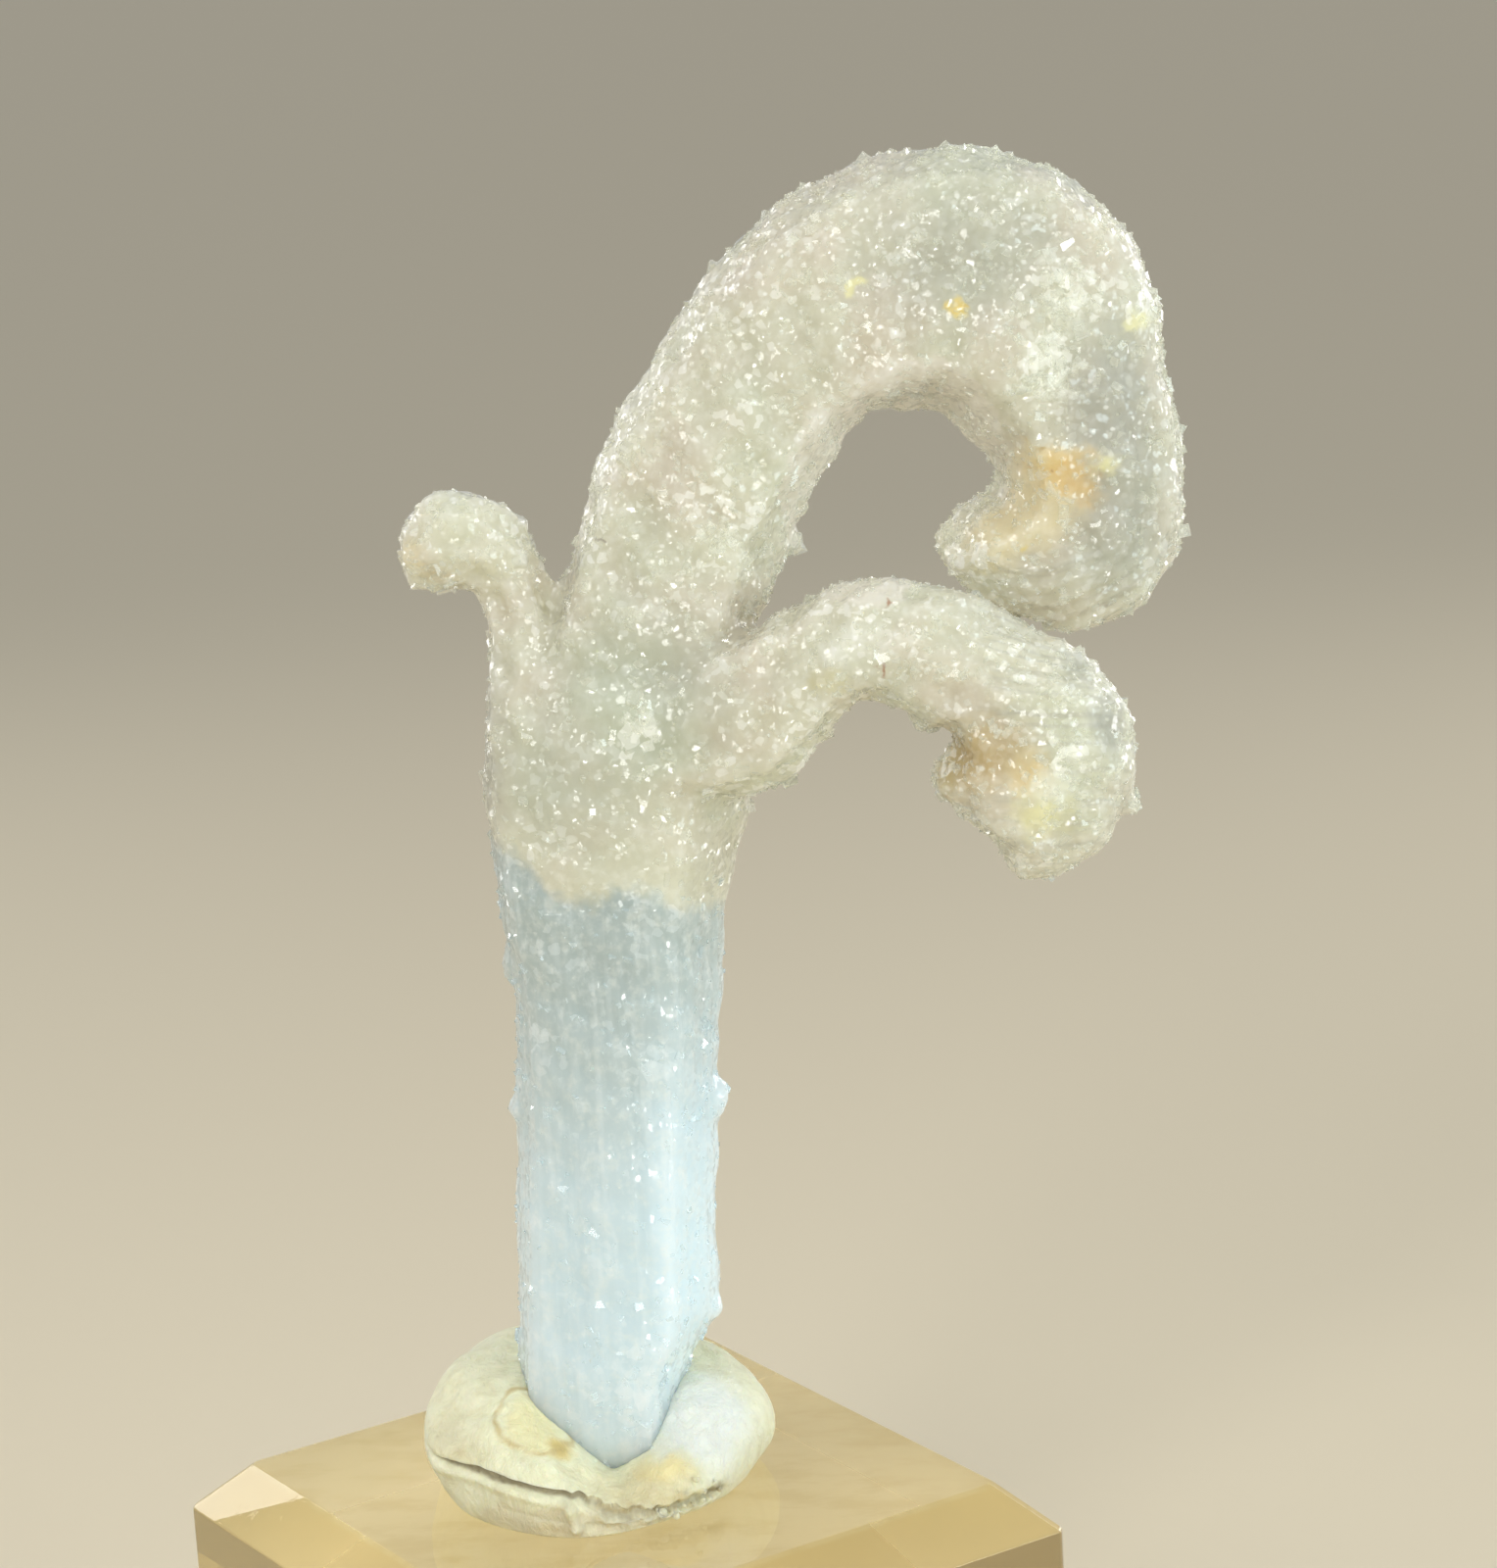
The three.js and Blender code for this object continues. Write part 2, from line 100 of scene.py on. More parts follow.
# Ledges and single large crystals: centre, size along X, Y and Z, turn in degrees.
LEDGES = [
    ((-3.9, -0.5, 51.6), (1.4, 2.4, 3.4), 12), ((-4.3, -0.8, 42.4), (1.2, 1.8, 1.6), 30),
    ((7.4, -0.6, 42.2), (1.4, 2.2, 2.6), 20), ((6.3, -0.5, 29.4), (1.4, 2.4, 1.8), 35),
    ((11.6, -2.6, 62.2), (1.8, 1.8, 1.6), 20), ((1.5, 5.8, 57), (2, 1.6, 2.2), 30),
    ((34, 0.9, 86.6), (1.8, 3, 2.2), 18), ((13.4, 0.5, 74.7), (1.5, 1.8, 1.5), 32),
    ((22.1, 0.4, 74.4), (1.3, 1.5, 1.4), 45), ((18.4, 8, 90), (2.2, 1.2, 1.8), 15),
    ((30.4, 6.9, 82), (1.8, 1.2, 2.2), 40), ((20.2, -6.9, 65.5), (1.6, 1.6, 1.4), 40),
    ((14.6, -5.2, 64.9), (1.4, 1.8, 1.4), 20), ((31.3, -7, 60.2), (1.6, 1.8, 1.6), 22),
    ((22, -7.4, 62.3), (3, 4.6, 3.2), 28), ((-1.8, 0.3, 76.7), (1.2, 1.4, 1.1), 30),
    ((-8, 0.2, 73.7), (1.3, 1.6, 1.1), 15),
]
BODY_VOXEL = 0.28
# The crust's relief: heights, and how many domes, swells and specks of grit there are a millimetre.
CRUST_INSET = 0.17
DOME_HEIGHT = 0.17
DOME_LEAN = 0.8
DOMES = 1.35
SWELL_HEIGHT = 0.10
SWELLS = 0.35
GRIT_HEIGHT = 0.05
GRITS = 4.1
# The relief is calmer on the stem: the calm starts at the first value of a pair and is whole at the second.
CALM_SHARE = 0.65
STEM_SIDE = (14, 12)
CALM_SLOPE = (74, 56)
# Growth rings round the middle of the large horn's curl, and where they fade in.
CURL_CENTRE = (27.5, 0.0, 78.0)
RING_SPACING = 0.95
RING_HEIGHT = 0.07
RING_WANDER = 0.25
RING_TOP = (76, 74)
RING_FOOT = (66, 68)
RING_SIDE = (22, 24)
# Fine upright ribs on the clear part of the stem: waves along X, Y and Z in radians a millimetre.
RIB_HEIGHT = 0.025
RIB_TOP = (57, 53)
RIB_SIDE = (12, 10)
RIB_WAVES = ((5.1, 3.3, 0.05), (7.9, -4.1, 0.0))
# The seed of every random draw.
SEED = 20


# ---- shape helpers
def fade(value, start, end):
    """0 before start, 1 past end and a straight slope between; end may be the smaller one."""
    return np.clip((value - start) / (end - start), 0, 1)


def hump(value, reach):
    """1 where value is 0, falling smoothly on both sides, to about a third at reach."""
    return np.exp(-((value / reach) ** 2))


def spline(points, count):
    """count points along a Catmull-Rom curve through points."""
    given = np.asarray(points, float)
    padded = np.vstack([2 * given[0] - given[1], given, 2 * given[-1] - given[-2]])
    t = np.linspace(0, len(given) - 1, count)
    first = np.minimum(t.astype(int), len(given) - 2)
    f = (t - first)[:, None]
    p0, p1, p2, p3 = (padded[first + i] for i in range(4))
    slope_1 = 0.5 * (p2 - p0)
    slope_2 = 0.5 * (p3 - p1)
    cubic = 2 * p1 - 2 * p2 + slope_1 + slope_2
    square = -3 * p1 + 3 * p2 - 2 * slope_1 - slope_2
    return ((cubic * f + square) * f + slope_1) * f + p1


def relief(along, angle, scale, lumps, flat_depth):
    """Radius close to 1: flats between the ridges, with lumps and pits on them."""
    ridges = np.radians(RIDGES)
    sector = np.clip(np.searchsorted(ridges, angle, side="right"), 1, len(ridges) - 1)
    half = (ridges[sector] - ridges[sector - 1]) / 2
    from_middle = angle - (ridges[sector] + ridges[sector - 1]) / 2
    sag = (1 - np.cos(half) / np.cos(from_middle)) / (1 - math.cos(math.pi / 6))
    ribs = 0.5 * np.sin(5 * angle + 0.21 * along) + 0.4 * np.sin(9 * angle - 0.13 * along)
    knobs = np.sin(1.25 * along + 2 * angle) * np.sin(3 * angle + 0.6 * along)
    return 1 - flat_depth * (sag - 0.35) + lumps * (ribs + knobs) / scale


def flattened(value):
    return np.sign(value) * np.abs(value) ** (2 / SECTION_POWER)


def outlines(sections, rows):
    """The sections' two outline curves and half depths, as many of each as rows."""
    a_x, a_z, b_x, b_z, y, deep = spline(sections, rows).T
    return np.stack([a_x, y, a_z], axis=1), np.stack([b_x, y, b_z], axis=1), deep


def grow_horn(sections, around, rows, rounded, calm=(1.0, 1.0), flats=(1.0, 1.0)):
    """Rings between the two outlines of the sections, as an array of shape (rows, around, 3).

    calm and flats scale the lumps and the flats' depth at the foot or root and at the other end."""
    edge_a, edge_b, deep = outlines(sections, rows)
    centre = (edge_a + edge_b) / 2
    half = edge_b - centre
    steps = np.linalg.norm(np.diff(centre, axis=0), axis=1)
    along = np.concatenate([[0], np.cumsum(steps)])[:, None]
    angle = np.linspace(0, 2 * math.pi, around, endpoint=False)[None, :]
    scale = 0.5 * (np.linalg.norm(half, axis=1) + deep)[:, None]
    lumps = LUMP_HEIGHT * np.linspace(*calm, rows)[:, None]
    flat_depth = FLAT_DEPTH * np.linspace(*flats, rows)[:, None]
    radius = relief(along, angle, scale, lumps, flat_depth)
    across = (flattened(np.cos(angle)) * radius)[..., None] * half[:, None, :]
    depth = flattened(np.sin(angle)) * radius * deep[:, None]
    rings = centre[:, None, :] + across
    rings[..., 1] += depth
    if rounded:
        rings = np.concatenate([rings, rounded_tip(rings)])
    return rings


def rounded_tip(rings):
    """Shrinking rings past the last one that close a tip like a thumb."""
    middle = rings[-1].mean(axis=0)
    forward = middle - rings[-2].mean(axis=0)
    forward /= np.linalg.norm(forward)
    reach = 0.45 * np.linalg.norm(rings[-1][0] - middle)
    tips = []
    for degrees in (15, 30, 45, 58, 70, 80, 87):
        turn = math.radians(degrees)
        tips.append(middle + (rings[-1] - middle) * math.cos(turn) + forward * reach * math.sin(turn))
    return np.array(tips)


def skin(rings):
    """Vertices and faces of a closed skin over rings of shape (rows, around, 3)."""
    rows, around = rings.shape[:2]
    first = np.arange(around)
    after = (first + 1) % around
    faces = []
    for row in range(rows - 1):
        low = row * around
        high = low + around
        faces += np.column_stack([low + first, low + after, high + after, high + first]).tolist()
    faces.append(list(range(around))[::-1])
    faces.append(list(range((rows - 1) * around, rows * around)))
    return rings.reshape(-1, 3), faces


def ledge_rings(centre, size, turn):
    """A short gypsum blade with slanted ends."""
    outline = np.array([(-1, -0.5), (-0.4, -1), (1, -0.7), (1, 0.5), (0.4, 1), (-1, 0.7)])
    width, depth, height = (value / 2 for value in size)
    x, z = outline.T
    rings = []
    for y, shrink in ((-depth, 0.55), (-0.4 * depth, 1), (0.4 * depth, 1), (depth, 0.55)):
        rings.append(np.stack([x * width * shrink, np.full(6, y), z * height * shrink], axis=1))
    angle = math.radians(turn)
    spin = Matrix.Rotation(0.5 * angle, 3, "Z") @ Matrix.Rotation(angle, 3, "Y")
    spin = spin @ Matrix.Rotation(0.3 * angle, 3, "X")
    return np.array(rings) @ np.array(spin).T + np.array(centre)


def make_mesh(name, vertices, faces):
    """A mesh from vertices in any unit and faces of any length."""
    mesh = bpy.data.meshes.new(name)
    mesh.from_pydata(np.asarray(vertices).tolist(), [], faces)
    mesh.validate()
    return mesh


def add_object(name, data):
    """A new object in the scene."""
    thing = bpy.data.objects.new(name, data)
    bpy.context.scene.collection.objects.link(thing)
    return thing


def make_piece(name, mesh, slot, *nodes):
    """A piece of the object from a mesh in millimetres, standing for the named CAD nodes."""
    mesh.transform(Matrix.Scale(MM, 4))
    piece = add_object(name, mesh)
    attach(piece, "root")
    if nodes:
        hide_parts(*nodes)
    return piece


def table(items, key, width, kind=np.int32):
    """A value of each item of a mesh, as rows of width numbers."""
    flat = np.empty(len(items) * width, kind)
    items.foreach_get(key, flat)
    return flat.reshape(-1, width)


def coordinates(mesh):
    return table(mesh.vertices, "co", 3, np.float32).astype(float)


def normals(mesh):
    return table(mesh.vertex_normals, "vector", 3, np.float32).astype(float)


def move_vertices(mesh, points):
    mesh.vertices.foreach_set("co", np.asarray(points, np.float32).ravel())
    mesh.update()


def push_out(mesh, height):
    """Moves each vertex outward by its height."""
    move_vertices(mesh, coordinates(mesh) + normals(mesh) * height[:, None])


def at_each(points, value_at):
    """value_at of each point, as an array."""
    return np.array([value_at(Vector(point)) for point in points])


def smooth(mesh, rounds, weight):
    """Pulls each vertex towards its neighbours' middle, by weight, rounds times."""
    points = coordinates(mesh)
    a, b = table(mesh.edges, "vertices", 2).T
    count = len(points)
    links = np.bincount(a, minlength=count) + np.bincount(b, minlength=count)
    for _ in range(rounds):
        sums = [np.bincount(a, axis[b], count) + np.bincount(b, axis[a], count) for axis in points.T]
        points += weight * (np.array(sums).T / links[:, None] - points)
    move_vertices(mesh, points)


def remeshed(vertices, faces, voxel):
    """The outer skin of closed solids that overlap, as one even mesh."""
    rough = add_object("rough", make_mesh("rough", vertices, faces))
    modifier = rough.modifiers.new("skin", "REMESH")
    modifier.mode = "VOXEL"
    modifier.voxel_size = voxel
    depsgraph = bpy.context.evaluated_depsgraph_get()
    mesh = bpy.data.meshes.new_from_object(rough.evaluated_get(depsgraph))
    bpy.data.objects.remove(rough)
    return mesh


def join(solids):
    """Several (vertices, faces) as one."""
    vertices = []
    faces = []
    count = 0
    for points, polygons in solids:
        vertices.append(points)
        faces += [[i + count for i in polygon] for polygon in polygons]
        count += len(points)
    return np.concatenate(vertices), faces


# ---- the crystal
def crystal_body():
    """Stem, horns and ledges as one skin, before the crust is raised."""
    solids = [skin(grow_horn(*loft)) for loft in LOFTS.values()]
    solids += [skin(ledge_rings(*ledge)) for ledge in LEDGES]
    mesh = remeshed(*join(solids), BODY_VOXEL)
    smooth(mesh, 4, 0.5)
    return mesh


def crust_strength(points):
    """How rough the crust is: 1 on the horns, falling down the stem."""
    x, y, z = points.T
    calm = fade(x, *STEM_SIDE) * fade(z, *CALM_SLOPE)
    return 1 - CALM_SHARE * calm


def growth_rings(points):
    """Low ribs round the middle of the large horn's curl."""
    x, y, z = points.T
    from_centre = np.hypot(x - CURL_CENTRE[0], z - CURL_CENTRE[2])
    inside = fade(z, *RING_TOP) * fade(x, *RING_SIDE) * fade(z, *RING_FOOT)
    wander = RING_WANDER * np.sin(0.9 * x + 0.7 * z)
    return RING_HEIGHT * inside * np.sin(2 * math.pi * (from_centre + wander) / RING_SPACING)


def stem_ribs(points):
    """Fine upright ribs on the clear part of the stem."""
    x, y, z = points.T
    low = fade(z, *RIB_TOP) * fade(x, *RIB_SIDE)
    first, second = (np.sin(a * x + b * y + c * z) for a, b, c in RIB_WAVES)
    return RIB_HEIGHT * low * (first + second)


def crust_height(place):
    """Height of the crust's grains: domes over random cells, fine grit and slow swells."""
    near, seeds = noise.voronoi(place * DOMES)
    lean = noise.noise_vector(seeds[0] * 7.3)
    dome = 0.5 - near[0] + DOME_LEAN * lean.dot(place * DOMES - seeds[0])
    swell = noise.noise(place * SWELLS)
    grit = noise.noise(place * GRITS)
    return DOME_HEIGHT * dome + SWELL_HEIGHT * swell + GRIT_HEIGHT * grit


def add_crust(mesh):
    """Raises the crust, the growth rings and the ribs."""
    points = coordinates(mesh)
    height = at_each(points, crust_height) * crust_strength(points)
    push_out(mesh, height + growth_rings(points) + stem_ribs(points) - CRUST_INSET)


# Without a seed of its own, noise_vector differs from run to run.
noise.seed_set(SEED)
body_mesh = crystal_body()
add_crust(body_mesh)
body_mesh.shade_smooth()
crystal = make_piece("selenite_crystal", body_mesh, "selenite", *LOFTS)


# ---- shader helpers
def set_inputs(tree, node, values):
    """Links or sets a node's inputs, by name or number."""
    for key, value in values.items():
        if isinstance(value, bpy.types.NodeSocket):
            tree.links.new(value, node.inputs[key])
        else:
            node.inputs[key].default_value = value


def add_node(tree, kind, inputs=None, **settings):
    """A shader node with its settings and inputs."""
    node = tree.nodes.new("ShaderNode" + kind)
    for name, value in settings.items():
        setattr(node, name, value)
    set_inputs(tree, node, inputs or {})
    return node


def maths(tree, operation, a, b=0.0, c=0.0):
    return add_node(tree, "Math", {0: a, 1: b, 2: c}, operation=operation).outputs[0]


def times(tree, a, b):
    return maths(tree, "MULTIPLY", a, b)


def vector_maths(tree, operation, a, b=(0, 0, 0)):
    node = add_node(tree, "VectorMath", {0: a, 1: b}, operation=operation)
    return node.outputs["Value" if operation == "LENGTH" else "Vector"]


def grain(tree, place, scale, detail=2.0, roughness=0.5):
    """Noise from 0 to 1 at a place in millimetres, with scale waves a millimetre."""
    inputs = {"Vector": place, "Scale": scale, "Detail": detail, "Roughness": roughness}
    return add_node(tree, "TexNoise", inputs).outputs["Fac"]


def ramp(tree, value, start, end, low=0.0, high=1.0):
    """Smooth change from low to high as value goes from start to end."""
    inputs = {"Value": value, "From Min": start, "From Max": end, "To Min": low, "To Max": high}
    return add_node(tree, "MapRange", inputs, interpolation_type="SMOOTHSTEP").outputs[0]


def blend(tree, factor, a, b, way="MIX"):
    node = add_node(tree, "Mix", {0: factor, 6: a, 7: b}, data_type="RGBA", blend_type=way)
    return node.outputs[2]


def stretched(tree, place, scale):
    return vector_maths(tree, "MULTIPLY", place, scale)


def drift(tree, place, scale, detail):
    """A slow random shift, from -0.5 to 0.5 along each axis."""
    cloud = add_node(tree, "TexNoise", {"Vector": place, "Scale": scale, "Detail": detail})
    return vector_maths(tree, "SUBTRACT", cloud.outputs["Color"], (0.5, 0.5, 0.5))


def shifted(tree, place, shift, reach):
    return vector_maths(tree, "ADD", place, stretched(tree, shift, (reach, reach, reach)))


def distance(tree, place, centre, radii=(1, 1, 1)):
    """Distance from a centre, counted in radii."""
    offset = vector_maths(tree, "SUBTRACT", place, centre)
    return vector_maths(tree, "LENGTH", vector_maths(tree, "DIVIDE", offset, radii))


def along_axes(tree, place):
    return add_node(tree, "SeparateXYZ", {0: place}).outputs


def linear(red, green, blue):
    """A colour given as sRGB bytes, as the linear colour that shaders take."""
    def channel(byte):
        value = byte / 255
        return value / 12.92 if value <= 0.04045 else ((value + 0.055) / 1.055) ** 2.4
    return channel(red), channel(green), channel(blue), 1.0


def new_material(name):
    material = bpy.data.materials.new(name)
    material.use_nodes = True
    tree = material.node_tree
    tree.nodes.clear()
    shader = add_node(tree, "BsdfPrincipled")
    add_node(tree, "OutputMaterial", {"Surface": shader.outputs[0]})
    return material, tree, shader


def place_in_mm(tree):
    return stretched(tree, add_node(tree, "TexCoord").outputs["Object"], (1 / MM, 1 / MM, 1 / MM))


def paint_spots(tree, place, colour, spots):
    """Lays soft-edged spots over a colour: each has a centre, radii, colour, strength and edge softness."""
    for centre, radii, tone, strength, softness in spots:
        reach = distance(tree, place, centre, radii)
        colour = blend(tree, ramp(tree, reach, 1.0, 1.0 - softness, 0.0, strength), colour, tone)
    return colour


# ---- the selenite's colours
WARM_GREY = linear(205, 203, 182)
ROSE_GREY = linear(206, 199, 180)
GREEN_GREY = linear(199, 201, 178)
CREAM = linear(213, 212, 191)
ICE_GREY = linear(176, 189, 187)
ICE = linear(207, 224, 229)
WINDOW_LIT_ICE_BLUE = linear(220, 240, 250)
ICE_WHITE = linear(234, 242, 243)
WHITE = linear(240, 241, 232)
CRYSTAL_AND_GLINT_WHITE = linear(250, 250, 244)
GRAIN_CLEAR = linear(236, 236, 226)
ORANGE = linear(217, 188, 124)
PALE_ORANGE = linear(221, 203, 156)
STAIN_CREAM = linear(219, 208, 174)
YELLOW = linear(222, 203, 128)
PALE_YELLOW = linear(230, 226, 180)
OLIVE = linear(205, 200, 162)
RED_BROWN = linear(160, 110, 75)
BROWN = linear(180, 154, 92)
DARK = linear(140, 132, 118)
SHADE_GREY = linear(169, 169, 156)
RING_AND_SHADE_GREY = linear(180, 178, 162)
CURL_SHADE_GREY = linear(199, 189, 167)
ARCH_PAINTED_LIGHT = linear(222, 216, 203)
STEM_GREEN = linear(180, 187, 169)

# Lower edge of the cloudy crust on the stem, as (x, z), and the frame that its curve is drawn in.
CRUST_EDGE = [
    (-5.5, 59.4), (-3.2, 58.4), (-2.1, 57.4), (-1.0, 56.0),
    (0.8, 55.7), (3.0, 56.4), (6.3, 54.9), (9.0, 53.5),
]
EDGE_FRAME_WIDTH = 20.0
EDGE_FRAME_FOOT = 50.0
EDGE_FRAME_HEIGHT = 12.0
CREAM_BAND_TOP = 3.8

# Soft-edged stains, and some spots of painted shade and painted light: centre and radii in millimetres,
# colour, strength and edge softness.
STAINS = [
    # Painted light: two paler spots lift the shaded underside of the large horn's arch.
    ((17.4, -1, 77.4), (4.9, 12, 6.8), ARCH_PAINTED_LIGHT, 0.7, 0.12),
    ((20.8, -1, 80.4), (4.9, 12, 5.9), ARCH_PAINTED_LIGHT, 0.7, 0.12),
    # Painted shade: the top of the large horn darkened.
    ((24, -4, 91), (9, 9, 6), SHADE_GREY, 0.5, 0.9),
    # Painted shade: darkens the low inner side of the large horn's curl, towards the middle horn.
    ((28, -3, 70.5), (7, 7, 4), CURL_SHADE_GREY, 0.6, 0.9),
    # Painted shade: the right side of the large horn's curl darkened.
    ((31.5, -4, 82), (5, 6, 8), SHADE_GREY, 0.8, 0.9),
    ((32, -4, 75), (5, 6, 7), SHADE_GREY, 0.7, 0.9),
    ((5, -5, 68), (8, 5, 8), STEM_GREEN, 0.6, 0.9),
    ((-0.5, -4.5, 63), (7, 5, 6), STEM_GREEN, 0.5, 0.9),
    # Painted light: the front of the middle horn, nearest the lamps, lightened.
    ((16, -8.8, 70.4), (4.5, 2.5, 2.2), WHITE, 0.5, 0.9),
    ((26, -3.6, 76.6), (4.4, 3.6, 3.6), STAIN_CREAM, 0.95, 0.6),
    ((24.4, -3.4, 74.6), (3.2, 3.4, 2.6), STAIN_CREAM, 0.75, 0.7),
    ((27.6, -4.4, 79.2), (3.1, 3.2, 1.9), PALE_ORANGE, 0.9, 0.9),
    ((28.8, -4.9, 78.6), (2.7, 3.4, 2.4), ORANGE, 0.9, 0.95),
    ((29.7, -4.7, 77.3), (1.7, 3, 1.6), ORANGE, 0.8, 0.95),
    ((31, -5, 79), (1.2, 2.5, 1), PALE_YELLOW, 0.8, 0.7),
    ((27.3, -4.4, 80.2), (0.5, 1.5, 0.35), BROWN, 0.7, 0.8),
    ((26.3, -4, 74.3), (0.55, 1.5, 0.45), YELLOW, 0.8, 0.8),
    ((23.1, -5, 88.2), (0.75, 3, 0.6), YELLOW, 1, 0.7),
    ((17.7, -4.5, 89.5), (0.8, 3, 0.6), PALE_YELLOW, 0.9, 0.7),
    ((33.2, -2.9, 86.6), (1.2, 2.5, 0.8), PALE_YELLOW, 0.8, 0.7),
    ((29, -4.9, 81.1), (0.24, 1.2, 0.24), RED_BROWN, 0.8, 0.8),
    ((28.2, -4.8, 78.7), (0.25, 1.2, 0.25), RED_BROWN, 0.5, 0.8),
    ((18.5, -8.6, 72.7), (0.24, 1.2, 0.24), RED_BROWN, 0.8, 0.8),
    ((17.7, -9.6, 69.1), (0.26, 1.2, 0.28), RED_BROWN, 0.85, 0.8),
    ((2.7, -3.4, 76), (0.22, 1.2, 0.22), DARK, 0.7, 0.8),
    ((30.9, -2.9, 70.5), (0.7, 1.4, 0.22), DARK, 0.5, 0.8),
    ((14.9, -8.6, 68.3), (2, 2, 1.1), OLIVE, 0.6, 0.9),
    ((23.3, -10, 64.4), (4.4, 4.6, 3), BROWN, 0.75, 0.95),
    ((21.8, -8.2, 63.4), (3.2, 4, 3), BROWN, 0.7, 0.95),
    ((25.6, -11, 63.2), (2, 2.6, 1.6), PALE_ORANGE, 0.8, 0.9),
    ((26.3, -10.7, 60.9), (2.4, 3, 2.4), PALE_YELLOW, 0.8, 0.95),
    ((27, -10.9, 62.6), (2, 2.4, 1.2), WHITE, 0.4, 0.8),
    ((28.2, -11.2, 63.9), (1.3, 2.4, 1.2), WHITE, 0.5, 0.8),
    # Painted shade: the right side of the middle horn's curl darkened.
    ((28.8, -9.2, 68.7), (1.8, 2.6, 1.6), SHADE_GREY, 0.6, 0.8),
    ((30.2, -9.6, 65.4), (1.5, 2.8, 3), SHADE_GREY, 0.8, 0.8),
    ((-6.9, -2, 74.2), (1.7, 3, 1), BROWN, 0.4, 0.9),
    ((-8, -1.4, 75.2), (1.2, 2.6, 1.4), STAIN_CREAM, 0.7, 0.9),
    ((-0.6, -5.7, 28.1), (0.28, 1.2, 0.4), BROWN, 0.7, 0.8),
    # Painted shade: the stem's upper left side darkened.
    ((-4.6, -1.5, 64.5), (3, 6, 8.5), RING_AND_SHADE_GREY, 0.9, 0.9),
]
# Groups of white crystals: centre and reach in millimetres, the share that is white in the middle.
CLUSTERS = [
    ((29.4, -4.3, 88.9), (3.6, 4, 2.4), 0.48), ((28, -4.6, 84.7), (2.3, 4, 2.4), 0.65),
    ((4, -6.2, 65.4), (2, 3, 2.2), 0.5), ((9.6, -5, 77.4), (2.6, 3, 3.4), 0.3),
    ((27.9, -10.6, 64), (1.9, 4, 1.8), 0.5), ((21.2, -7.6, 63), (1.6, 3, 2.4), 0.5),
    ((13.6, -4.6, 63.6), (2.4, 4, 1.8), 0.5), ((33.6, -1.5, 87.4), (1.4, 4, 1.6), 0.6),
    ((23.4, -2, 73.6), (2, 4, 1.6), 0.6), ((3.4, -5.5, 45.6), (3.6, 3, 2.6), 0.35),
    ((-2.6, -4.5, 47.5), (1.6, 3, 1.2), 0.4), ((1, -5.2, 26), (4.5, 3, 4.5), 0.45),
]


# Glinting faces a millimetre, their share of tilt on the stem, and the heights between which it is reached.
GLINTS = 2.9
STEM_GLITTER = 0.35
GLITTER_SLOPE = (58.0, 55.0)
# White dots in the crust, the finer row painted glints: how many a millimetre, their share of the cells,
# radius, strength and colour.
DOTS = [
    (1.5, 0.6, 0.55, 0.35, WHITE),
    (2.6, 0.2, 0.6, 0.6, CRYSTAL_AND_GLINT_WHITE),
]


def voronoi(tree, place, scale):
    """Random cells, scale of them a millimetre."""
    return add_node(tree, "TexVoronoi", {"Vector": place, "Scale": scale}).outputs


def dots(tree, place, scale, share, radius):
    """Soft round spots in a share of the cells, scale of them a millimetre, up to radius cells wide."""
    cells = voronoi(tree, place, scale)
    chance = add_node(tree, "SeparateColor", {0: cells["Color"]}).outputs
    chosen = ramp(tree, chance["Red"], 1.0 - share, 1.0 - 0.5 * share)
    reach = maths(tree, "MULTIPLY_ADD", chance["Green"], 0.6 * radius, 0.4 * radius)
    spot = ramp(tree, maths(tree, "DIVIDE", cells["Distance"], reach), 1.0, 0.35)
    return times(tree, spot, chosen)


def flakes(tree, place, scale, mask):
    """Angular white crystals, scale of them a millimetre: mask is the share of them that is white."""
    cells = voronoi(tree, place, scale)
    chance = add_node(tree, "SeparateColor", {0: cells["Color"]}).outputs[0]
    return ramp(tree, maths(tree, "SUBTRACT", mask, chance), 0.0, 0.06)


def cluster_mask(tree, place):
    """The share of the surface that white crystals take up in the clusters."""
    mask = 0.0
    for centre, reach, share in CLUSTERS:
        inside = ramp(tree, distance(tree, place, centre, reach), 1.0, 0.25, 0.0, share)
        mask = maths(tree, "MAXIMUM", mask, inside)
    return mask


def stem_ice(tree, place, axes):
    """The clearer gypsum of the lower stem: grey-green at the crust, whiter and bluer to the foot, and paler
    and bluer on its right side, partly painted light.
    """
    low = ramp(tree, axes["Z"], 54.0, 33.0)
    colour = blend(tree, low, ICE_GREY, ICE)
    # Painted light: the right side of the lower stem paler and bluer, where the window lamp falls, over the
    # clear gypsum's own blue tint.
    rightward = ramp(tree, axes["X"], 2.4, 4.6, 0.0, 0.8)
    colour = blend(tree, times(tree, rightward, low), colour, WINDOW_LIT_ICE_BLUE)
    streaks = grain(tree, stretched(tree, place, (1.5, 1.5, 0.10)), 1.0, 3.0)
    colour = blend(tree, ramp(tree, streaks, 0.5, 0.7, 0.0, 0.2), colour, ICE_WHITE)
    veils = grain(tree, stretched(tree, place, (2.2, 2.2, 1.4)), 0.6, 4.0, 0.65)
    return blend(tree, ramp(tree, veils, 0.5, 0.75, 0.0, 0.4), colour, ICE_WHITE)


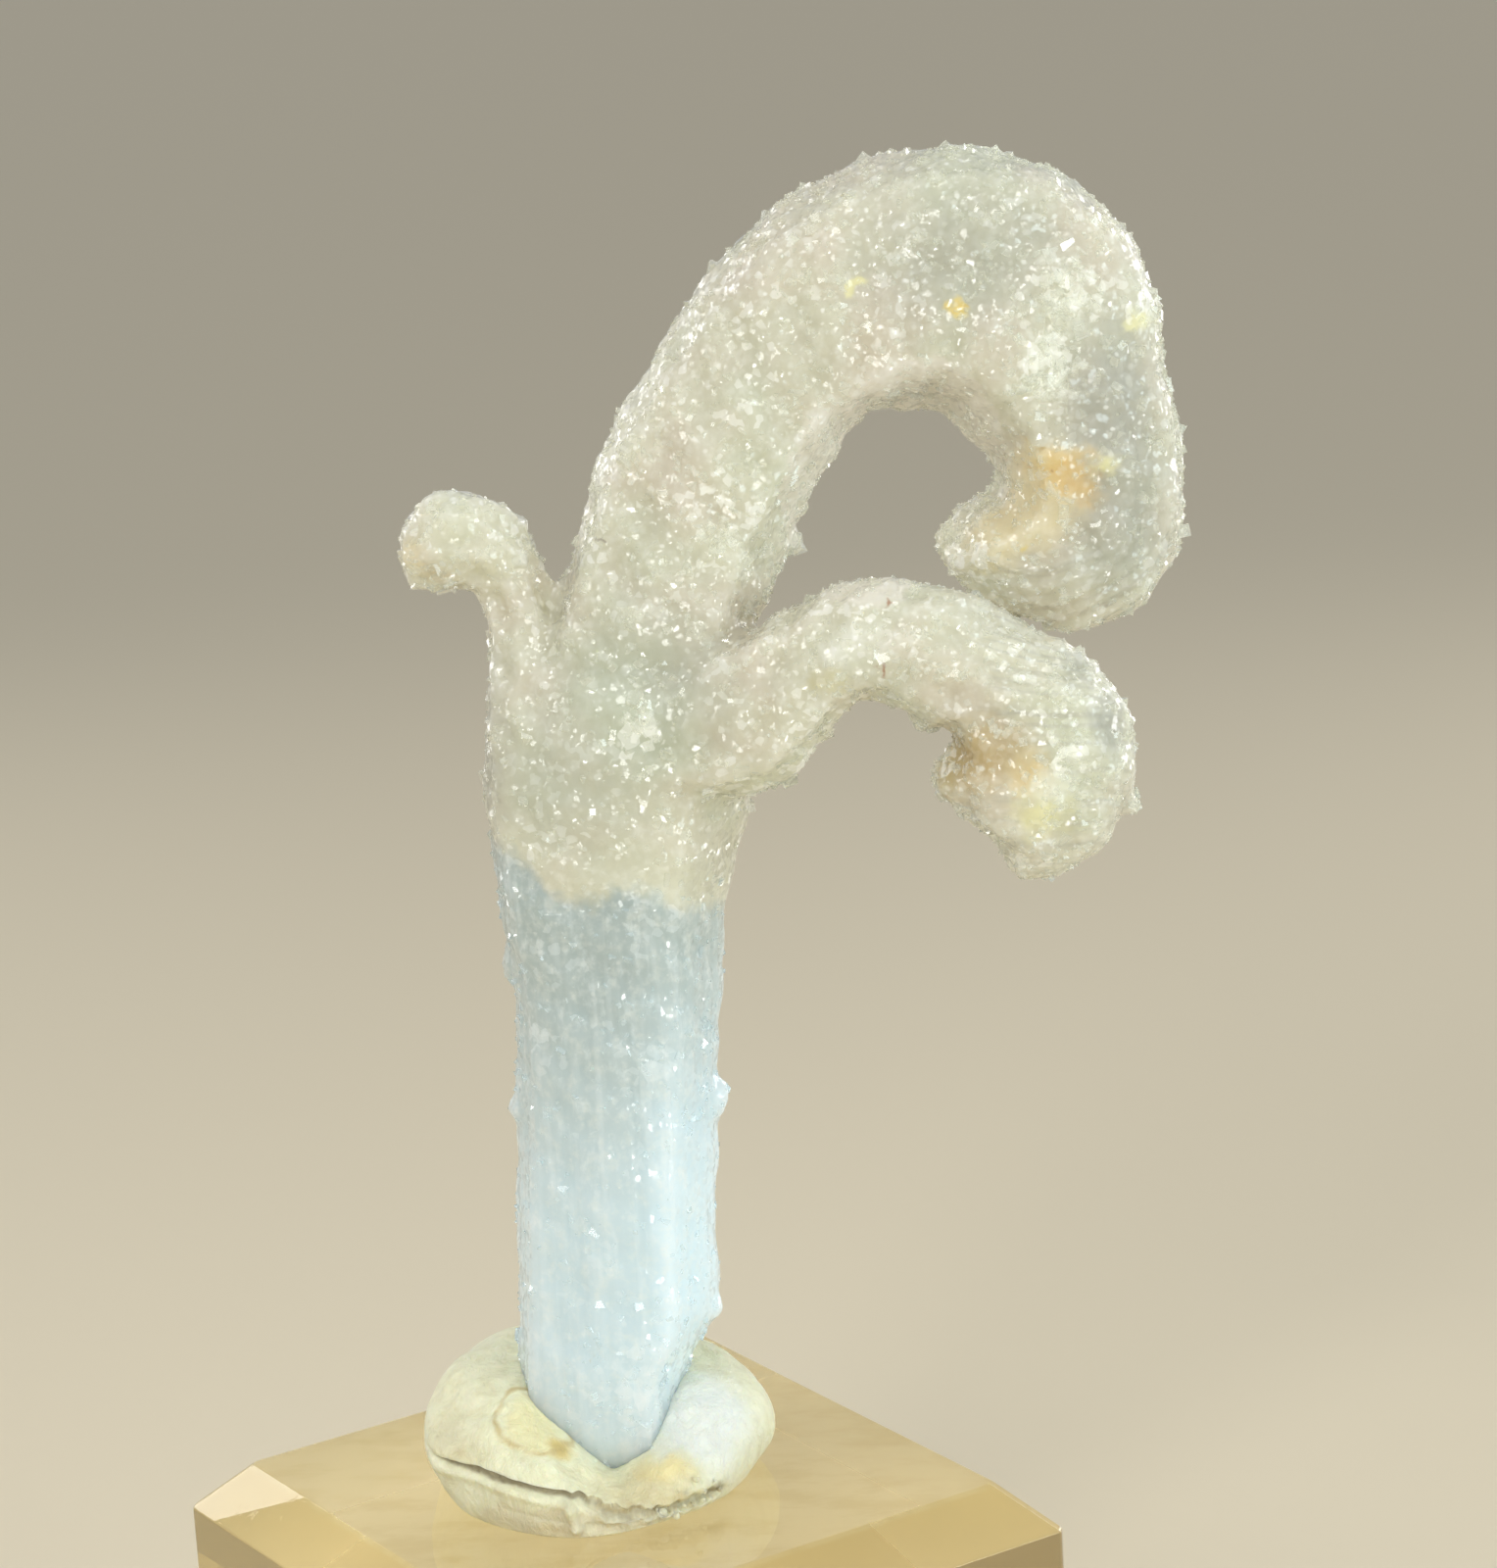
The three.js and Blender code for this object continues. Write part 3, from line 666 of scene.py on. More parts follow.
def above_edge(tree, place, axes):
    """Millimetres above the crust's ragged lower edge."""
    across = maths(tree, "MULTIPLY_ADD", axes["X"], 1 / EDGE_FRAME_WIDTH, 0.5)
    edge = add_node(tree, "FloatCurve", {"Value": across})
    curve = edge.mapping.curves[0]
    for i, (x, z) in enumerate(CRUST_EDGE):
        spot = (x / EDGE_FRAME_WIDTH + 0.5, (z - EDGE_FRAME_FOOT) / EDGE_FRAME_HEIGHT)
        if i < len(curve.points):
            curve.points[i].location = spot
        else:
            curve.points.new(*spot)
    edge.mapping.update()
    edge_height = maths(tree, "MULTIPLY_ADD", edge.outputs[0], EDGE_FRAME_HEIGHT, EDGE_FRAME_FOOT)
    ragged = maths(tree, "MULTIPLY_ADD", grain(tree, place, 1.3, 3.0), 1.6, -0.8)
    return maths(tree, "SUBTRACT", maths(tree, "ADD", axes["Z"], ragged), edge_height)


def crust_colour(tree, place, above):
    """The cloudy crust: warm, rosy and greenish greys, with a creamy band along its lower edge."""
    colour = blend(tree, ramp(tree, grain(tree, place, 0.16), 0.38, 0.62), WARM_GREY, ROSE_GREY)
    elsewhere = vector_maths(tree, "ADD", place, (40, 0, 0))
    green = ramp(tree, grain(tree, elsewhere, 0.13), 0.45, 0.68, 0.0, 0.8)
    colour = blend(tree, green, colour, GREEN_GREY)
    band = times(tree, ramp(tree, above, -0.1, 0.4), ramp(tree, above, CREAM_BAND_TOP, 0.6))
    return blend(tree, times(tree, band, 0.75), colour, CREAM)


def ring_marks(tree, place, axes):
    """How strongly the grey growth rings show low on the large horn's curl."""
    outward = times(tree, distance(tree, place, CURL_CENTRE), 2.2)
    rings = grain(tree, add_node(tree, "CombineXYZ", {0: outward}).outputs[0], 1.0)
    low_curl = times(tree, ramp(tree, axes["Z"], 75.5, 73.0), ramp(tree, axes["X"], 22.0, 25.0))
    return times(tree, ramp(tree, rings, 0.45, 0.66, 0.0, 0.7), low_curl)


def horn_share(tree, axes):
    """1 on the horns, falling to 0.4 low on the stem."""
    on_stem = times(tree, ramp(tree, axes["X"], *STEM_SIDE), ramp(tree, axes["Z"], *CALM_SLOPE))
    return maths(tree, "MULTIPLY_ADD", on_stem, -0.6, 1.0)


def selenite_colour(tree, place):
    """The gypsum's colour at a place in millimetres, with painted shade, painted light and painted glints
    laid over it.
    """
    axes = along_axes(tree, place)
    shift = drift(tree, place, 0.9, 3.0)
    wavy = shifted(tree, place, shift, 2.2)
    bent = shifted(tree, place, shift, 0.5)
    above = above_edge(tree, place, axes)
    crusted = ramp(tree, above, -0.8, 0.9)
    colour = blend(tree, crusted, stem_ice(tree, place, axes), crust_colour(tree, place, above))
    colour = blend(tree, ring_marks(tree, place, axes), colour, RING_AND_SHADE_GREY)

    crystal_white = blend(tree, crusted, ICE_WHITE, CRYSTAL_AND_GLINT_WHITE)
    on_crust = maths(tree, "MULTIPLY_ADD", crusted, 0.4, 0.6)
    sparse = ramp(tree, grain(tree, place, 0.3), 0.4, 0.7, 0.03, 0.25)
    small = times(tree, flakes(tree, bent, 2.2, sparse), times(tree, on_crust, 0.4))
    colour = blend(tree, small, colour, crystal_white)
    clouds = ramp(tree, grain(tree, place, 1.5, 3.0, 0.6), 0.46, 0.72, 0.0, 0.25)
    colour = blend(tree, clouds, colour, WHITE)
    colour = paint_spots(tree, wavy, colour, STAINS)

    patchy = ramp(tree, grain(tree, place, 0.35), 0.35, 0.6, 0.35, 1.0)
    milky = times(tree, patchy, horn_share(tree, axes))
    # The finer dots are painted glints; the coarser ones are white specks of the crust.
    for scale, share, radius, strength, white in DOTS:
        spots = times(tree, dots(tree, bent, scale, share, radius), times(tree, milky, strength))
        colour = blend(tree, spots, colour, white)
    mask = cluster_mask(tree, wavy)
    middling = times(tree, flakes(tree, bent, 1.9, mask), times(tree, on_crust, 0.45))
    colour = blend(tree, middling, colour, crystal_white)
    large = times(tree, flakes(tree, bent, 1.1, times(tree, mask, 0.6)), 0.4)
    return blend(tree, large, colour, crystal_white)


def facets(tree, place, scale):
    """Height in millimetres of small tilted faces, scale of them a millimetre, each leaning its own way."""
    cells = voronoi(tree, place, scale)
    lean = vector_maths(tree, "SUBTRACT", cells["Color"], (0.5, 0.5, 0.5))
    middle = vector_maths(tree, "DIVIDE", cells["Position"], (scale,) * 3)
    offset = vector_maths(tree, "SUBTRACT", place, middle)
    return add_node(tree, "VectorMath", {0: lean, 1: offset}, operation="DOT_PRODUCT").outputs["Value"]


def selenite_material():
    """Cloudy, softly glowing gypsum under a fine glittering crust."""
    material, tree, shader = new_material("selenite")
    place = place_in_mm(tree)
    calm = ramp(tree, along_axes(tree, place)["Z"], *GLITTER_SLOPE, 1.0, STEM_GLITTER)
    tilts = times(tree, facets(tree, place, GLINTS), calm)
    glitter = add_node(tree, "Bump", {"Height": tilts, "Strength": 1.0, "Distance": MM})
    set_inputs(tree, shader, {
        "Base Color": selenite_colour(tree, place),
        "Roughness": 0.5,
        "IOR": 1.52,
        "Subsurface Weight": 1.0,
        "Subsurface Radius": (1.0, 1.0, 1.0),
        "Subsurface Scale": 0.005,
        "Coat Weight": 0.8,
        "Coat Roughness": 0.12,
        "Coat IOR": 1.65,
        "Coat Normal": glitter.outputs[0],
    })
    return material


def grain_material():
    """Single crystals of the crust, clear enough to show the body that they grow on."""
    material, tree, shader = new_material("selenite_grains")
    tone = add_node(tree, "Attribute", attribute_name="tone").outputs["Fac"]
    on_crust = blend(tree, tone, GRAIN_CLEAR, WHITE)
    crusted = ramp(tree, along_axes(tree, place_in_mm(tree))["Z"], 55.5, 57.0)
    set_inputs(tree, shader, {
        "Base Color": blend(tree, crusted, ICE_WHITE, on_crust),
        "Roughness": 0.15,
        "IOR": 1.3,
        "Transmission Weight": 0.75,
        "Coat Weight": 0.5,
        "Coat Roughness": 0.1,
        "Coat IOR": 1.6,
    })
    return material


# ---- the crust's single crystals
# How many small crystals there are, their size and its spread, and the share of it that is sunk in.
GRAIN_COUNT = 10500
GRAIN_SIZE = 0.33
GRAIN_SPREAD = 0.35
GRAIN_SINK = 0.27
# Where they stand thickly: patches a millimetre, the usual weight and how much it changes.
THICKETS = 0.45
THICKET_WEIGHT = 0.55
THICKET_CHANGE = 0.9
# Each crystal is a tapered blade: ranges of its sides, of its top's share of the foot and of the top's lean.
BLADE_SIDES = (0.55, 1.25)
BLADE_TAPER = (0.25, 0.95)
BLADE_LEAN = (-0.35, 0.35)
# The eight corners and six faces of a block.
BOX_CORNERS = np.array([(x, y, z) for z in (-1, 1) for y in (-1, 1) for x in (-1, 1)], float)
BOX_FACES = np.array([(0, 2, 3, 1), (4, 5, 7, 6), (0, 1, 5, 4), (2, 6, 7, 3), (0, 4, 6, 2), (1, 3, 7, 5)])


def random_turns(random, count):
    """Random rotation matrices, from unit quaternions."""
    q = random.normal(size=(count, 4))
    w, x, y, z = (q / np.linalg.norm(q, axis=1, keepdims=True)).T
    return np.stack([
        1 - 2 * (y * y + z * z), 2 * (x * y - w * z), 2 * (x * z + w * y),
        2 * (x * y + w * z), 1 - 2 * (x * x + z * z), 2 * (y * z - w * x),
        2 * (x * z - w * y), 2 * (y * z + w * x), 1 - 2 * (x * x + y * y),
    ], axis=1).reshape(-1, 3, 3)


def scatter(mesh, count, random, weight, *settings):
    """Random places on a mesh with their outward directions, more of them where weight is high."""
    points = coordinates(mesh)
    outward = normals(mesh)
    mesh.calc_loop_triangles()
    corners = table(mesh.loop_triangles, "vertices", 3)
    a, b, c = (points[corners[:, i]] for i in range(3))
    area = np.linalg.norm(np.cross(b - a, c - a), axis=1)
    chance = area * weight((a + b + c) / 3, *settings)
    picked = random.choice(len(corners), count, p=chance / chance.sum())
    u, v = random.random((2, count, 1))
    over = u + v > 1
    u = np.where(over, 1 - u, u)
    v = np.where(over, 1 - v, v)
    mix = np.concatenate([1 - u - v, u, v], axis=1)
    places = np.einsum("ni,nij->nj", mix, points[corners[picked]])
    directions = np.einsum("ni,nij->nj", mix, outward[corners[picked]])
    return places, directions / np.linalg.norm(directions, axis=1, keepdims=True)


def crystals(places, outward, random, sizes):
    """Corners of small tapered blades, one for each place, each shaped (8, 3)."""
    count = len(places)
    stretch = random.uniform(*BLADE_SIDES, (count, 1, 3))
    blocks = BOX_CORNERS * stretch
    top = BOX_CORNERS[:, 2:3] > 0
    taper = random.uniform(*BLADE_TAPER, (count, 1, 2))
    shift = random.uniform(*BLADE_LEAN, (count, 1, 2))
    blocks[..., :2] = np.where(top, blocks[..., :2] * taper + shift, blocks[..., :2])
    blocks *= sizes[:, None, None] / 2
    blocks = np.einsum("nij,nkj->nki", random_turns(random, count), blocks)
    return blocks + (places - outward * (sizes * GRAIN_SINK)[:, None])[:, None, :]


def grains_piece(name, corners, tone, material):
    """All the small crystals of a part of the specimen as one piece."""
    count = len(corners)
    faces = (BOX_FACES[None] + 8 * np.arange(count)[:, None, None]).reshape(-1, 4)
    mesh = make_mesh(name, corners.reshape(-1, 3), faces.tolist())
    attribute = mesh.attributes.new("tone", "FLOAT", "POINT")
    attribute.data.foreach_set("value", np.repeat(tone, 8).astype(np.float32))
    mesh.materials.append(material)
    piece = make_piece(name, mesh, "selenite")
    piece.visible_shadow = False


# Patches of larger crystals: centre, reach, how many there are and their size, which varies by these shares.
PATCH_SIZES = (0.6, 1.35)
PATCHES = [
    ((4.2, -6.5, 66.4), 0.9, 16, 0.7), ((2.4, -6.4, 65), 0.6, 7, 0.55),
    ((4.4, -6.4, 63.4), 0.8, 9, 0.55), ((5.6, -6.3, 61.6), 0.8, 6, 0.5),
    ((3.6, -5.9, 71.9), 0.7, 8, 0.6), ((8.9, -5.3, 75.6), 0.9, 14, 0.6),
    ((10.4, -5.3, 79.2), 1, 9, 0.5), ((29.5, -5.3, 89.5), 1.4, 40, 0.75),
    ((28.2, -5.5, 88), 1.1, 16, 0.6), ((28.3, -5.7, 84.6), 1.2, 30, 0.9),
    ((26.2, -5.6, 86.6), 1, 10, 0.5), ((31.6, -4.6, 85), 0.9, 9, 0.5),
    ((12.6, -3.6, 62.6), 1.4, 22, 0.65), ((14.6, -5.6, 64.6), 1, 12, 0.55),
    ((20.2, -7.2, 65.3), 0.8, 12, 0.65), ((22.3, -8, 60.9), 1, 12, 0.55),
    ((28, -11, 63.9), 1.2, 20, 0.45), ((27.4, -11.2, 60.6), 1, 10, 0.45),
    ((32.2, -7, 60.4), 0.8, 9, 0.6), ((22.1, 0.2, 74.4), 0.6, 10, 0.6),
    ((13.4, 0.5, 74.7), 0.8, 12, 0.55), ((12.9, -1.5, 72.6), 0.9, 12, 0.5),
    ((34.2, -1.5, 86.8), 0.9, 12, 0.6), ((-0.4, -1, 74.2), 0.7, 10, 0.45),
    ((-6, -1.6, 73), 0.9, 14, 0.4), ((7.2, -3.5, 43), 1.4, 14, 0.5),
    ((7.6, -3, 46.5), 1.2, 10, 0.45), ((3, -5.6, 47.5), 1.4, 8, 0.45),
    ((0.5, -5.3, 26.5), 2.6, 30, 0.45), ((3.5, -4.8, 29.5), 2, 14, 0.4),
    ((18.4, 7.8, 90), 1.6, 20, 0.65), ((2, 6, 57), 1.8, 18, 0.6),
]


def thicket(place):
    return THICKET_WEIGHT + THICKET_CHANGE * max(noise.noise(place * THICKETS), -0.4)


def crust_weight(places):
    """How thickly small crystals stand at each place."""
    return at_each(places, thicket) * crust_strength(places) ** 1.5


def patch_weight(places, centre, reach):
    """1 in the middle of a patch, falling off with distance."""
    return hump(np.linalg.norm(places - np.array(centre), axis=1), reach)


def place_crystals(mesh, random):
    """Places, outward directions and sizes of the small crystals and of the larger ones in the patches."""
    places, outward = scatter(mesh, GRAIN_COUNT, random, crust_weight)
    sizes = GRAIN_SIZE * np.exp(random.normal(0, GRAIN_SPREAD, GRAIN_COUNT))
    found = [(places, outward, sizes)]
    for centre, reach, count, size in PATCHES:
        places, outward = scatter(mesh, count, random, patch_weight, centre, reach)
        found.append((places, outward, size * random.uniform(*PATCH_SIZES, count)))
    return [np.concatenate(column) for column in zip(*found)]


def near_loft(places, sections):
    """Distance of each place from a loft's middle line, as a share of its half width."""
    edge_a, edge_b, _ = outlines(sections, 80)
    centre = (edge_a + edge_b) / 2
    half = np.linalg.norm(edge_b - edge_a, axis=1) / 2
    shares = np.linalg.norm(places[:, None, :] - centre[None], axis=2) / half
    return shares.min(axis=1)


def grow_grains(mesh, material):
    """Covers the crystal in small crystals and makes one piece for each branch."""
    random = np.random.default_rng(SEED)
    places, outward, sizes = place_crystals(mesh, random)
    tone = random.random(len(places)) ** 2
    corners = crystals(places, outward, random, sizes)
    branch = np.argmin([near_loft(places, sections) for sections, *_ in LOFTS.values()], axis=0)
    for number, name in enumerate(LOFTS):
        mine = branch == number
        grains_piece(name + "_grains", corners[mine], tone[mine], material)


crystal.data.materials.append(selenite_material())
body_in_mm = body_mesh.copy()
body_in_mm.transform(Matrix.Scale(1 / MM, 4))
grow_grains(body_in_mm, grain_material())
bpy.data.meshes.remove(body_in_mm)


# ---- the putty
PUTTY_CENTRE = (-1.1, 0.0)
PUTTY_HALF_WIDTH = 10.3
PUTTY_HALF_DEPTH = 9.3
PUTTY_HEIGHT = 7.2
PUTTY_LEAN = 0.5
PUTTY_FRONT_HEIGHT = 2.1
# The V at the front: its angle in degrees, and its reach to the left and to the right in radians.
PUTTY_DIP_ANGLE = 282
PUTTY_DIP_LEFT = 0.75
PUTTY_DIP_RIGHT = 0.62
PUTTY_SINK = 0.04
PUTTY_AROUND = 460
PUTTY_ROWS = 150
# The foot spreads at the front: angle in degrees, width in radians and share of the half width.
TOE_ANGLE = 262
TOE_WIDTH = 0.6
TOE_OUT = 0.12
# Thumb marks and wrinkles, which fade out just above the block.
THUMB_DEPTH = 0.35
WRINKLE_DEPTH = 0.09
KNEAD_FADE = 0.6
# Section from the middle of the underside, out and over the top: shares of the half width and of the height.
PUTTY_PROFILE = [
    (0.0, -0.01), (0.4, -0.01), (0.7, -0.01), (0.86, 0.0), (0.94, 0.14), (0.99, 0.3), (1.0, 0.46),
    (0.97, 0.64), (0.9, 0.8), (0.79, 0.93), (0.66, 1.0), (0.5, 1.02), (0.3, 1.0), (0.0, 0.98),
]
# The fold between the upper lump and the lower lip: angle round the putty in degrees, height.
PUTTY_FOLD = [
    (190, 22.8), (206, 22.4), (229, 22.5), (245, 22.1), (257, 21.6), (265, 21.4),
    (269, 20.9), (273, 20.6), (280, 20.2), (288, 20.05), (299, 19.95), (316, 20.0),
]
FOLD_START = (196, 210)
FOLD_END = (322, 312)
# Past the nub the fold is broken: ragged, wider and shallower.
FOLD_BROKEN = (266, 270)
# The fold's depth, its rolled lip and its brow, as shares of the half width.
CREASE_DEPTH = 0.042
LIP_OUT = 0.028
BROW_OUT = 0.008
# Knobs on the lip: angle in degrees, height, reach in degrees and in height, and how far out they stand.
PUTTY_KNOBS = [
    (263, 20.9, 1.9, 0.9, 0.085), (264.5, 19.7, 1.7, 0.35, 0.07),
    (270, 20.5, 2.4, 0.5, -0.03), (277, 19.9, 5, 0.35, 0.04),
    (284, 20.6, 1.4, 0.2, 0.025), (288.5, 20.3, 1.2, 0.2, 0.03),
    (296, 20.5, 1.5, 0.25, 0.03), (303, 20.7, 1.6, 0.3, 0.035),
    (255, 19.9, 4, 0.6, 0.015), (235, 20.3, 9, 0.9, 0.015),
    (212, 24.4, 9, 1, -0.02), (300, 21.2, 5, 0.7, -0.03),
    (293, 20.3, 3, 0.4, 0.025),
]
# Crumbs at the lip's ragged end: centre and size.
CRUMBS = [
    ((3.2, -8.15, 20.3), 0.24), ((2.5, -8.45, 20.1), 0.2), ((5.2, -6.95, 19.9), 0.3),
    ((4.6, -7.5, 19.9), 0.24), ((1.4, -8.75, 20.2), 0.18), ((5.7, -6.5, 21.3), 0.22),
    ((3.8, -7.9, 20.9), 0.18), ((6.1, -6.2, 20.2), 0.24), ((2.8, -8.2, 19.8), 0.42),
    ((3.6, -8, 19.5), 0.3), ((4.3, -7.6, 20.6), 0.34), ((4.9, -7.3, 21.3), 0.4),
    ((5.3, -6.9, 20.4), 0.36), ((4.1, -7.9, 20), 0.26), ((5.9, -6.6, 20.9), 0.3),
    ((2, -8.5, 19.5), 0.28),
]


def putty_height(angle):
    """Height of the putty round the stem: pulled up behind and at the sides, open in a V at the front."""
    from_dip = (angle - math.radians(PUTTY_DIP_ANGLE) + math.pi) % (2 * math.pi) - math.pi
    low = np.exp(-(np.abs(from_dip / np.where(from_dip < 0, PUTTY_DIP_LEFT, PUTTY_DIP_RIGHT)) ** 1.6))
    return (PUTTY_HEIGHT - PUTTY_LEAN * np.cos(angle)) * (1 - low) + PUTTY_FRONT_HEIGHT * low


def fold_shape(angle, z):
    """How far out the surface stands at the fold, and how deep in its crease each place is."""
    degrees = np.degrees(angle)
    along = fade(degrees, *FOLD_START) * fade(degrees, *FOLD_END)
    gap = z - np.interp(degrees, *zip(*PUTTY_FOLD))
    broken = fade(degrees, *FOLD_BROKEN)
    ragged = broken * (0.10 * np.sin(degrees * 0.9) + 0.06 * np.sin(degrees * 2.3 + 1))
    gap = gap + ragged
    crease = hump(gap, 0.10 + 0.10 * broken)
    lip = hump(gap + 0.45, 0.34)
    brow = hump(gap - 0.75, 0.5)
    outward = -CREASE_DEPTH * crease + LIP_OUT * lip + BROW_OUT * brow
    return along * outward, along * crease * (1 - 0.5 * broken)


def knobs(angle, z):
    """How far out the surface stands at the knobs on the lip."""
    degrees = np.degrees(angle)
    total = 0
    for turn, height, reach, rise, out in PUTTY_KNOBS:
        total = total + out * np.exp(-(((degrees - turn) / reach) ** 2) - ((z - height) / rise) ** 2)
    return total


def crumb(centre, size):
    """A small rounded crumb."""
    rings = []
    turn = np.linspace(0, 2 * math.pi, 10, endpoint=False)
    for tilt in np.linspace(0.15, math.pi - 0.15, 7):
        wide = size * math.sin(tilt) * (1 + 0.15 * np.sin(3 * turn + centre[0]))
        level = np.full(10, -size * math.cos(tilt))
        ring = np.stack([wide * np.cos(turn), wide * np.sin(turn), level], axis=1)
        rings.append(ring + np.array(centre))
    return skin(np.array(rings))


def putty_mesh():
    """The pressed lump with its fold and crumbs, and the crease's depth as an attribute, which the material
    uses to paint shade into the fold.
    """
    angle = np.linspace(0, 2 * math.pi, PUTTY_AROUND, endpoint=False)[None, :]
    profile = spline(PUTTY_PROFILE, PUTTY_ROWS)
    reach = profile[:, :1]
    rise = profile[:, 1:]
    dent = 1 + 0.015 * np.sin(3 * angle + 1) + 0.01 * np.sin(7 * angle + 5 * rise)
    foot = np.clip(1 - rise / 0.3, 0, 1) * np.clip(reach / 0.86, 0, 1) ** 3
    front = hump(angle - math.radians(TOE_ANGLE), TOE_WIDTH)
    radius = (reach + TOE_OUT * foot * front) * dent
    z = BLOCK_TOP - PUTTY_SINK + rise * putty_height(angle)
    outside = np.clip((radius - 0.75) / 0.1, 0, 1)
    fold, crease = fold_shape(angle, z)
    radius = radius + outside * (fold + knobs(angle, z))
    x = PUTTY_CENTRE[0] + PUTTY_HALF_WIDTH * radius * np.cos(angle)
    y = PUTTY_CENTRE[1] + PUTTY_HALF_DEPTH * radius * np.sin(angle)
    rings = np.stack([x, y, np.broadcast_to(z, x.shape)], axis=2)[1:-1]
    crumbs = [crumb(centre, size) for centre, size in CRUMBS]
    mesh = make_mesh("mounting_putty_detail", *join([skin(rings)] + crumbs))
    dark = np.zeros(len(mesh.vertices), np.float32)
    shade = (outside * crease)[1:-1].ravel()
    dark[:len(shade)] = shade
    mesh.attributes.new("crease", "FLOAT", "POINT").data.foreach_set("value", dark)
    return mesh


def hand_marks(place):
    """Height of the thumb marks and shallow wrinkles."""
    thumb = noise.noise(place * 0.28)
    wrinkle = noise.noise(Vector((place.x * 0.9, place.y * 0.9, place.z * 0.25)))
    return THUMB_DEPTH * thumb + WRINKLE_DEPTH * wrinkle


def knead(mesh):
    """Presses hand marks into the putty, from just above the block."""
    points = coordinates(mesh)
    push_out(mesh, at_each(points, hand_marks) * np.clip((points[:, 2] - BLOCK_TOP) / KNEAD_FADE, 0, 1))


PUTTY_CREAM = linear(254, 251, 214)
PUTTY_YELLOW = linear(252, 236, 176)
PUTTY_LIT_WHITE = linear(246, 255, 241)
PUTTY_LIP_SHADE = linear(228, 219, 186)
PUTTY_OCHRE = linear(206, 182, 118)
PUTTY_ORANGE = linear(230, 203, 116)
PUTTY_GREY = linear(206, 198, 162)
PUTTY_SHADE = linear(130, 112, 76)
SWIRL_CENTRE = (-4.2, -5.2, 24.9)
SWIRL_REACH = 2.4
PUTTY_SPOTS = [
    # Painted light: the putty's right side painted whiter, where the window lamp falls on it.
    ((5.5, -4.6, 24), (5, 5.5, 4.6), PUTTY_LIT_WHITE, 1, 0.7),
    # Painted shade: the lower lip, under the fold, darkened.
    ((-3, -8.8, 19.6), (9, 4, 1.6), PUTTY_LIP_SHADE, 0.8, 0.6),
    ((-4.2, -5.6, 24.6), (2.3, 3, 2.3), PUTTY_YELLOW, 0.55, 0.5),
    ((-3.2, -6, 23), (1.3, 1.6, 0.8), PUTTY_ORANGE, 0.8, 0.8),
    ((-9.6, -4.2, 23.8), (1.8, 2.4, 1.4), PUTTY_GREY, 0.45, 0.9),
    ((-8.8, -5.6, 22.9), (1.2, 1.6, 0.6), PUTTY_OCHRE, 0.3, 0.9),
    ((1.6, -7.6, 21.6), (5, 3, 2), PUTTY_OCHRE, 0.45, 0.9),
    ((3, -7.1, 21.8), (3.4, 2.4, 1), PUTTY_YELLOW, 0.8, 0.9),
    ((3.4, -7.8, 20.5), (3.4, 1.6, 0.6), PUTTY_OCHRE, 0.5, 0.9),
    # Painted shade: a dark corner at the lip's ragged end.
    ((5.7, -6.3, 20.3), (1.1, 1.4, 0.6), PUTTY_SHADE, 0.7, 0.8),
    ((0.4, -8.6, 20.4), (2, 1.2, 0.4), PUTTY_OCHRE, 0.5, 0.8),
    ((-0.8, -9.2, 19.8), (1.4, 1.2, 0.5), PUTTY_GREY, 0.5, 0.8),
    ((-3.5, -9, 19.6), (2.4, 1.6, 0.5), PUTTY_OCHRE, 0.3, 0.9),
]


def putty_material():
    """Matt cream putty with yellow and ochre stains, a drawn swirl and finger prints, painted light
    whitening its right side and painted shade in its fold, under its lip and in a corner.
    """
    material, tree, shader = new_material("putty")
    place = place_in_mm(tree)
    wavy = shifted(tree, place, drift(tree, place, 0.6, 2.0), 1.6)
    streaks = grain(tree, stretched(tree, wavy, (1.0, 1.0, 0.3)), 1.1, 4.0)
    colour = blend(tree, ramp(tree, streaks, 0.42, 0.72, 0.0, 0.35), PUTTY_CREAM, PUTTY_GREY)
    colour = paint_spots(tree, wavy, colour, PUTTY_SPOTS)
    from_line = maths(tree, "SUBTRACT", distance(tree, wavy, SWIRL_CENTRE), SWIRL_REACH)
    line = ramp(tree, maths(tree, "ABSOLUTE", from_line), 0.34, 0.0)
    faded = ramp(tree, grain(tree, place, 0.5), 0.38, 0.6, 0.15, 0.7)
    colour = blend(tree, times(tree, line, faded), colour, PUTTY_OCHRE)
    # Painted shade: the fold's crease darkened.
    crease = add_node(tree, "Attribute", attribute_name="crease").outputs["Fac"]
    colour = blend(tree, ramp(tree, crease, 0.1, 0.9, 0.0, 0.75), colour, PUTTY_SHADE)
    prints = grain(tree, stretched(tree, wavy, (2.0, 2.0, 0.7)), 1.4, 5.0, 0.65)
    relief_node = add_node(tree, "Bump", {"Height": prints, "Strength": 0.7, "Distance": 0.0006})
    set_inputs(tree, shader, {
        "Base Color": colour,
        "Roughness": 0.55,
        "Subsurface Weight": 0.5,
        "Subsurface Radius": (1.0, 0.85, 0.6),
        "Subsurface Scale": 0.0004,
        "Normal": relief_node.outputs[0],
    })
    return material


putty_data = putty_mesh()
knead(putty_data)
putty_data.shade_smooth()
putty = make_piece("putty", putty_data, "putty", "mounting_putty")
putty.data.materials.append(putty_material())


